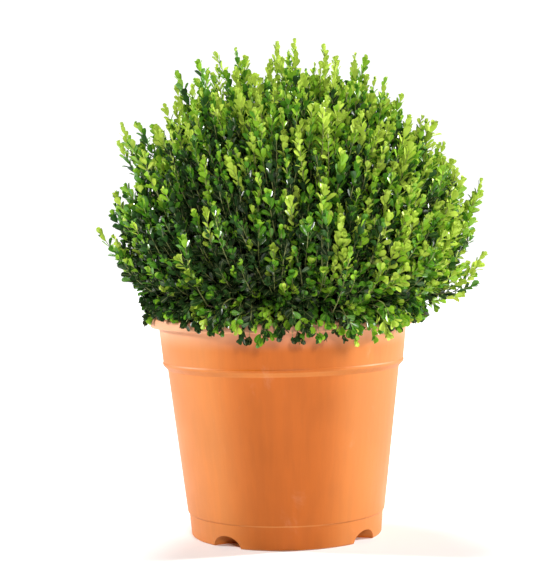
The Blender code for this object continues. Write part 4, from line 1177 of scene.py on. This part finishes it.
# A spray's tone: a base, painted light that grows with height, painted shade in the waist and inside the ball
# by reach, clumps and a random spread.
SPRAY_BASE, SPRAY_HEIGHT, SPRAY_WAIST_SHADE, SPRAY_REACH, SPRAY_CLUMPS, SPRAY_JITTER = (
    0.31, 0.52, 0.34, 1.6, 0.20, 0.30
)
STEP_JITTER, LEAST_LEAN, WIDEST_LEAN = 0.0008, 4, 88
LEAF_LENGTHS, LEAF_WIDTHS, WIDER_LOW = (0.88, 1.10), (0.88, 1.15), 0.18
CURL, CURL_JITTER = 0.06, 0.07
OFF_FOOT, ON_SKIN = 0.004, 0.0004                       # bare foot of a shoot, and a leaf's root off its line
FOLD = 0.30
OFF_PLASTIC, OFF_SOIL, PAST_BOX = 0.0008, 0.004, 0.004  # how near a leaf may come
BLADE = ("root", "way", "face", "size", "wide", "curl")
# Where a leaf is tried, as shares of its length and of its width.
TRIED_AT = ((0.1, 0), (0.6, 0), (0.6, -0.5), (0.6, 0.5), (0.85, 0.35), (0.85, -0.35), (1.0, 0))


def leaf_pattern(rows):
    """Places (across, along) and faces of one leaf: a point at its root, rows of three corners and
    a point at its end. Across goes from -1 to 1."""
    places = [(0.0, 0.0)] + [(side, row) for row in rows for side in (-1.0, 0.0, 1.0)] + [(0.0, 1.0)]
    quads = np.array([
        (1 + 3 * r + c, 2 + 3 * r + c, 5 + 3 * r + c, 4 + 3 * r + c)
        for r in range(len(rows) - 1) for c in range(2)
    ])
    last, end = 1 + 3 * (len(rows) - 1), 1 + 3 * len(rows)
    fans = np.array([(0, 2, 1), (0, 3, 2), (last, last + 1, end), (last + 1, last + 2, end)])
    return np.array(places), [quads, fans]


def leaf_blades(root, way, face, size, wide, curl, rows):
    """Many leaves at once. A point at (v, u) of a leaf is root + way u L + side v h(u) + face z, with
    half width h(u) in proportion to u^0.75 sqrt(1 - u^3.2), so it is widest past its middle, and
    z = fold |v| h(u) - curl u^2 L, so its halves stand up from the rib and its end turns down."""
    places, faces = leaf_pattern(rows)
    v, u = places[:, 0], places[:, 1]
    half = u**0.75 * np.sqrt(np.maximum(1 - u**3.2, 0)) / 0.665
    across = (v * half)[None, :, None] * (wide / 2)[:, None, None]
    lift = FOLD * np.abs(v * half)[None] * (wide / 2)[:, None] - curl[:, None] * (u**2)[None] * size[:, None]
    points = (
        root[:, None] + way[:, None] * (u[None] * size[:, None])[..., None]
        + np.cross(way, face)[:, None] * across + face[:, None] * lift[..., None]
    )
    base = (np.arange(len(root)) * len(places))[:, None, None]
    faces = [(base + some[None]).reshape(-1, some.shape[1]) for some in faces]
    return points.reshape(-1, 3), faces, np.tile(np.stack([v / 2 + 0.5, u], axis=-1), (len(root), 1))


def clear_leaves(root, way, face, size, wide, pot):
    """True for leaves that stay out of the plastic, the soil and the room past the solids' box."""
    side, inner = np.cross(way, face), pot.band_top_radius - pot.wall
    clear = np.ones(len(root), bool)
    for u, v in TRIED_AT:
        point = root + way * (u * size)[:, None] + side * (v * wide)[:, None]
        flat = off_axis(point)
        in_wall = (flat < pot.lip_radius + OFF_PLASTIC) & (flat > inner - OFF_PLASTIC)
        clear &= ~(in_wall & (point[:, 2] < pot.height + OFF_PLASTIC))
        clear &= ~((flat <= inner) & (point[:, 2] < SOIL_TOP + OFF_SOIL))
        clear &= np.all((point > BOX_LOW - PAST_BOX) & (point < BOX_HIGH + PAST_BOX), axis=1)
    return clear


def spray_tones(settings, shoot, rng):
    """How bright each spray is, from about 0 to 1, partly new growth and partly painted light and shade:
    higher, further out and further right is brighter, as lit from above, outside and the right, in clumps,
    and the middle of the waist is darker, a painted shadow in its hollow. Bright shoots keep a least tone."""
    tip, bright = shoot["tip"], shoot["bright"]
    height = rise_share(tip, LOW_TIPS, 0.25)
    clump = lumps(tip, 16, SEED + 3)
    reach = ball_gauge(tip - np.array(settings.ball.centre), settings.ball)
    # Painted shade: sprays in the middle of the waist are darker, as in a shadowed hollow.
    waist = SPRAY_WAIST_SHADE * np.exp(-((tip[:, 0] / 0.08) ** 2) - ((tip[:, 2] - 0.34) / 0.06) ** 2)
    tone = (
        SPRAY_BASE + SPRAY_HEIGHT * height - waist + np.interp(tip[:, 0], *SIDE_TONES)
        + SPRAY_REACH * np.clip(reach - 0.96, -0.3, 0.07) + SPRAY_CLUMPS * clump + bright
        + rng.normal(0, SPRAY_JITTER, len(tip))
    )
    return np.where(bright > 0.10, np.maximum(tone, 0.30 + 0.38 * height), tone)


def make_leaves(settings, shoot, rng):
    """Every leaf as arrays. Pairs stand opposite each other, a quarter turn from the next pair,
    closed and small at the tip, open and grown lower down."""
    shoots, pot = settings.shoots, settings.pot
    tip, span = shoot["tip"], shoot["span"]
    every = len(tip)
    turned = rng.uniform(0, math.pi, every)
    tone = spray_tones(settings, shoot, rng)
    low = 1 - rise_share(tip, 0.22, 0.20)
    lit = UP * LIT_UP + ways_at(angles_of(tip, settings.ball)[0], 0.0) * (LIT_OUT * low)[:, None]
    leaves = []
    for pair in range(int(shoot["pairs"].max())):
        past = pair - len(FROM_TIP) + 1
        back = FROM_TIP[pair] if past <= 0 else FROM_TIP[-1] + shoots.leaf_spacing * past
        back = back * shoot["spaced"]
        own = (shoot["pairs"] > pair) & (span > back + OFF_FOOT)
        steps = np.clip(1 - (back + rng.normal(0, STEP_JITTER, every)) / span, 0, 0.995)[:, None]
        line, ways = (values[:, 0] for values in shoot_line(shoot, steps, pot))
        grown = np.minimum(1.0, SMALLEST + LOW_GROWN * low + PAIR_GROWN * pair)
        # The tone falls down each shoot: younger leaves at the tip, and painted shade lower down.
        pair_tone = tone + PAIR_TONES[min(pair, len(PAIR_TONES) - 1)]
        for half in range(2):
            spin = turned + pair * math.pi / 2 + half * math.pi + rng.normal(0, TURN_JITTER, every)
            away = turned_about(side_of(ways), ways, spin)
            lean = rng.normal(min(LEAN_AT_TIP + LEAN_STEP * pair, LEAN_MOST), LEAN_JITTER, every)
            lean = np.radians(np.clip(lean * shoot["open"], LEAST_LEAN, WIDEST_LEAN))[:, None]
            way = ways * np.cos(lean) + away * np.sin(lean)
            face = unit(ways * np.sin(lean) - away * np.cos(lean) + lit)
            face = unit(face - way * dot(face, way))
            face = turned_about(face, way, rng.normal(0, FACE_JITTER, every))
            size = shoots.leaf_length * grown * shoot["leafy"] * rng.uniform(*LEAF_LENGTHS, every)
            wide = shoots.leaf_width * (0.30 + 0.70 * grown) * shoot["leafy"]
            wide = wide * rng.uniform(*LEAF_WIDTHS, every) * (1 + WIDER_LOW * low)
            curl = rng.normal(CURL, CURL_JITTER, every)
            root = line + away * ON_SKIN
            fine = own & clear_leaves(root, way, face, size, wide, pot)
            made = (root, way, face, size, wide, curl, pair_tone + rng.normal(0, TONE_JITTER, every))
            leaves.append([values[fine] for values in made])
    return dict(zip((*BLADE, "tone"), (np.concatenate(values) for values in zip(*leaves))))


def build_leaves(settings, shoot, rng):
    """Leaves joined by colour: each spray's tone, partly age and partly painted light and shade, deals its
    leaves out to five plain colours.
    """
    leaves = make_leaves(settings, shoot, rng)
    ceiling = 99.0
    for name, lowest, gloss, rows in TONES:
        own = np.flatnonzero((leaves["tone"] >= lowest) & (leaves["tone"] < ceiling))
        ceiling = lowest
        finish = leaf_finish(f"{name.title()} Leaf", getattr(settings.colours, name), gloss)
        for part, some in enumerate(np.array_split(own, max(1, math.ceil(len(own) / MOST_LEAVES))), 1):
            blades = leaf_blades(*(leaves[key][some] for key in BLADE), rows)
            piece = mesh_piece(f"leaves_{name}_{part}", blades, finish)
            stand_in_for(piece, "boxwood_leaf", *MASSES)


# ---------------------------------------------------------------- stage
SUNS = (
    # name, side it shines from, width in degrees, for soft shadows
    ("left", (-1.0, 0.22, 0.38), 8.0),
    ("right", (1.0, 0.22, 0.42), 8.0),
    ("front", (0.20, -1.00, 0.45), 14.0),
    ("top", (-0.10, 0.45, 1.25), 18.0),
)
FLOOR_RINGS, FLOOR_SEGMENTS = (0.2, 0.5, 1.2, 3.0, 8.0), 96
CAMERA_PLACE, CAMERA_LENS = (0.0, -1.574, 0.3198), 91.76           # metres and millimetres
CAMERA_YAW, CAMERA_PITCH, CAMERA_ROLL = -0.0103, 0.0399, -0.0210   # radians


def build_floor(pale):
    """A flat round floor, a disc of rings that widen outwards."""
    ring = np.array([(radius, 0.0) for radius in FLOOR_RINGS])
    points = np.concatenate([ring_points(ring, even_turns(FLOOR_SEGMENTS)), [(0, 0, 0)]])
    j = np.arange(FLOOR_SEGMENTS)
    fan = np.stack([j, (j + 1) % FLOOR_SEGMENTS, np.full(FLOOR_SEGMENTS, len(points) - 1)], axis=-1)
    made, wires = new_finish("Studio Floor")
    wires.feed(made.node_tree.nodes["Principled BSDF"], {
        "Base Color": (*pale, 1.0), "Roughness": 0.75, "Specular IOR Level": 0.2,
    })
    faces = [grid_faces(len(ring), FLOOR_SEGMENTS)[:, ::-1], fan]
    floor = mesh_piece("studio_floor", (points, faces, None), made)


def build_stage(stage):
    """The floor, a white surround that lights less than it shows, and four even lights."""
    build_floor(stage.floor_colour)
    world = bpy.data.worlds.new("White Surround")
    world.use_nodes = True
    wires = Wiring(world.node_tree)
    seen = wires.node("ShaderNodeLightPath")["Is Camera Ray"]
    strength = wires.remap(seen, 0.0, 1.0, stage.sky, stage.backdrop, "LINEAR")
    wires.feed(world.node_tree.nodes["Background"], {"Color": (1, 1, 1, 1), "Strength": strength})
    bpy.context.scene.world = world
    for name, place, width in SUNS:
        data = bpy.data.lights.new(f"{name}_light", "SUN")
        data.energy = getattr(stage, name)
        data.angle = math.radians(width)
        light = bpy.data.objects.new(f"{name}_light", data)
        light.location = place
        light.rotation_euler = (-Vector(place)).to_track_quat("-Z", "Y").to_euler()
        bpy.context.scene.collection.objects.link(light)
    bpy.context.scene.view_settings.view_transform = "Standard"


def build_camera():
    """A level look along +Y, turned by the yaw, tipped down by the pitch and rolled."""
    yaw, pitch, roll = CAMERA_YAW, CAMERA_PITCH, CAMERA_ROLL
    ahead = Vector((math.sin(yaw) * math.cos(pitch), math.cos(yaw) * math.cos(pitch), -math.sin(pitch)))
    right = Vector((math.cos(yaw), -math.sin(yaw), 0.0))
    top = right.cross(ahead)
    across = right * math.cos(roll) + top * math.sin(roll)
    upright = top * math.cos(roll) - right * math.sin(roll)
    data = bpy.data.cameras.new("camera")
    data.lens = CAMERA_LENS
    data.sensor_width = 36.0
    data.clip_end = 30.0
    camera = bpy.data.objects.new("camera", data)
    matrix = Matrix((across, upright, -ahead)).transposed().to_4x4()
    matrix.translation = CAMERA_PLACE
    camera.matrix_world = matrix
    bpy.context.scene.collection.objects.link(camera)
    bpy.context.scene.camera = camera


# ---------------------------------------------------------------- operators and panel
class BOXWOOD_OT_pot(Operator):
    """Turns the pot and scoops its drain pockets"""

    bl_idname = "boxwood.pot"
    bl_label = "Pot"

    def execute(self, context):
        build_pot(context.scene.boxwood)
        return {"FINISHED"}


class BOXWOOD_OT_soil(Operator):
    """Fills the pot with soil"""

    bl_idname = "boxwood.soil"
    bl_label = "Soil"

    def execute(self, context):
        build_soil(context.scene.boxwood)
        return {"FINISHED"}


class BOXWOOD_OT_limbs(Operator):
    """Builds the stem and boughs with their bark"""

    bl_idname = "boxwood.limbs"
    bl_label = "Stem and Boughs"

    def execute(self, context):
        build_limbs(context.scene.boxwood)
        return {"FINISHED"}


class BOXWOOD_OT_foliage(Operator):
    """Grows twigs, shoots and leaves on from the boughs"""

    bl_idname = "boxwood.foliage"
    bl_label = "Twigs, Shoots and Leaves"

    def execute(self, context):
        settings = context.scene.boxwood
        rng = np.random.default_rng(SEED)
        shoot = make_shoots(settings, rng)
        build_twigs(settings, shoot)
        build_shoots(settings, shoot)
        build_leaves(settings, shoot, rng)
        return {"FINISHED"}


class BOXWOOD_OT_stage(Operator):
    """Lays the floor and sets the studio light and the camera"""

    bl_idname = "boxwood.stage"
    bl_label = "Floor, Light and Camera"

    def execute(self, context):
        build_stage(context.scene.boxwood.stage)
        build_camera()
        return {"FINISHED"}


OPERATORS = (BOXWOOD_OT_pot, BOXWOOD_OT_soil, BOXWOOD_OT_limbs, BOXWOOD_OT_foliage, BOXWOOD_OT_stage)


class BOXWOOD_PT_panel(Panel):
    """Builds the plant piece by piece"""

    bl_idname = "BOXWOOD_PT_panel"
    bl_label = "Potted Ball Boxwood"
    bl_space_type = "VIEW_3D"
    bl_region_type = "UI"
    bl_category = "Boxwood"

    def draw(self, context):
        for operator in OPERATORS:
            self.layout.operator(operator.bl_idname)
        settings = context.scene.boxwood
        for key in settings.__annotations__:
            box, group = self.layout.box(), getattr(settings, key)
            for name in group.__annotations__:
                box.prop(group, name)


CLASSES = (
    BoxwoodPot, BoxwoodLimbs, BoxwoodBall, BoxwoodShoots, BoxwoodColours, BoxwoodStage, BoxwoodSettings,
    *OPERATORS, BOXWOOD_PT_panel,
)


def register():
    for one in CLASSES:
        bpy.utils.register_class(one)
    bpy.types.Scene.boxwood = PointerProperty(type=BoxwoodSettings)


def unregister():
    del bpy.types.Scene.boxwood
    for one in reversed(CLASSES):
        bpy.utils.unregister_class(one)


def main():
    register()
    bpy.ops.boxwood.pot()
    bpy.ops.boxwood.soil()
    bpy.ops.boxwood.limbs()
    bpy.ops.boxwood.foliage()
    bpy.ops.boxwood.stage()
    bpy.context.view_layer.update()


if __name__ == "__main__":
    main()
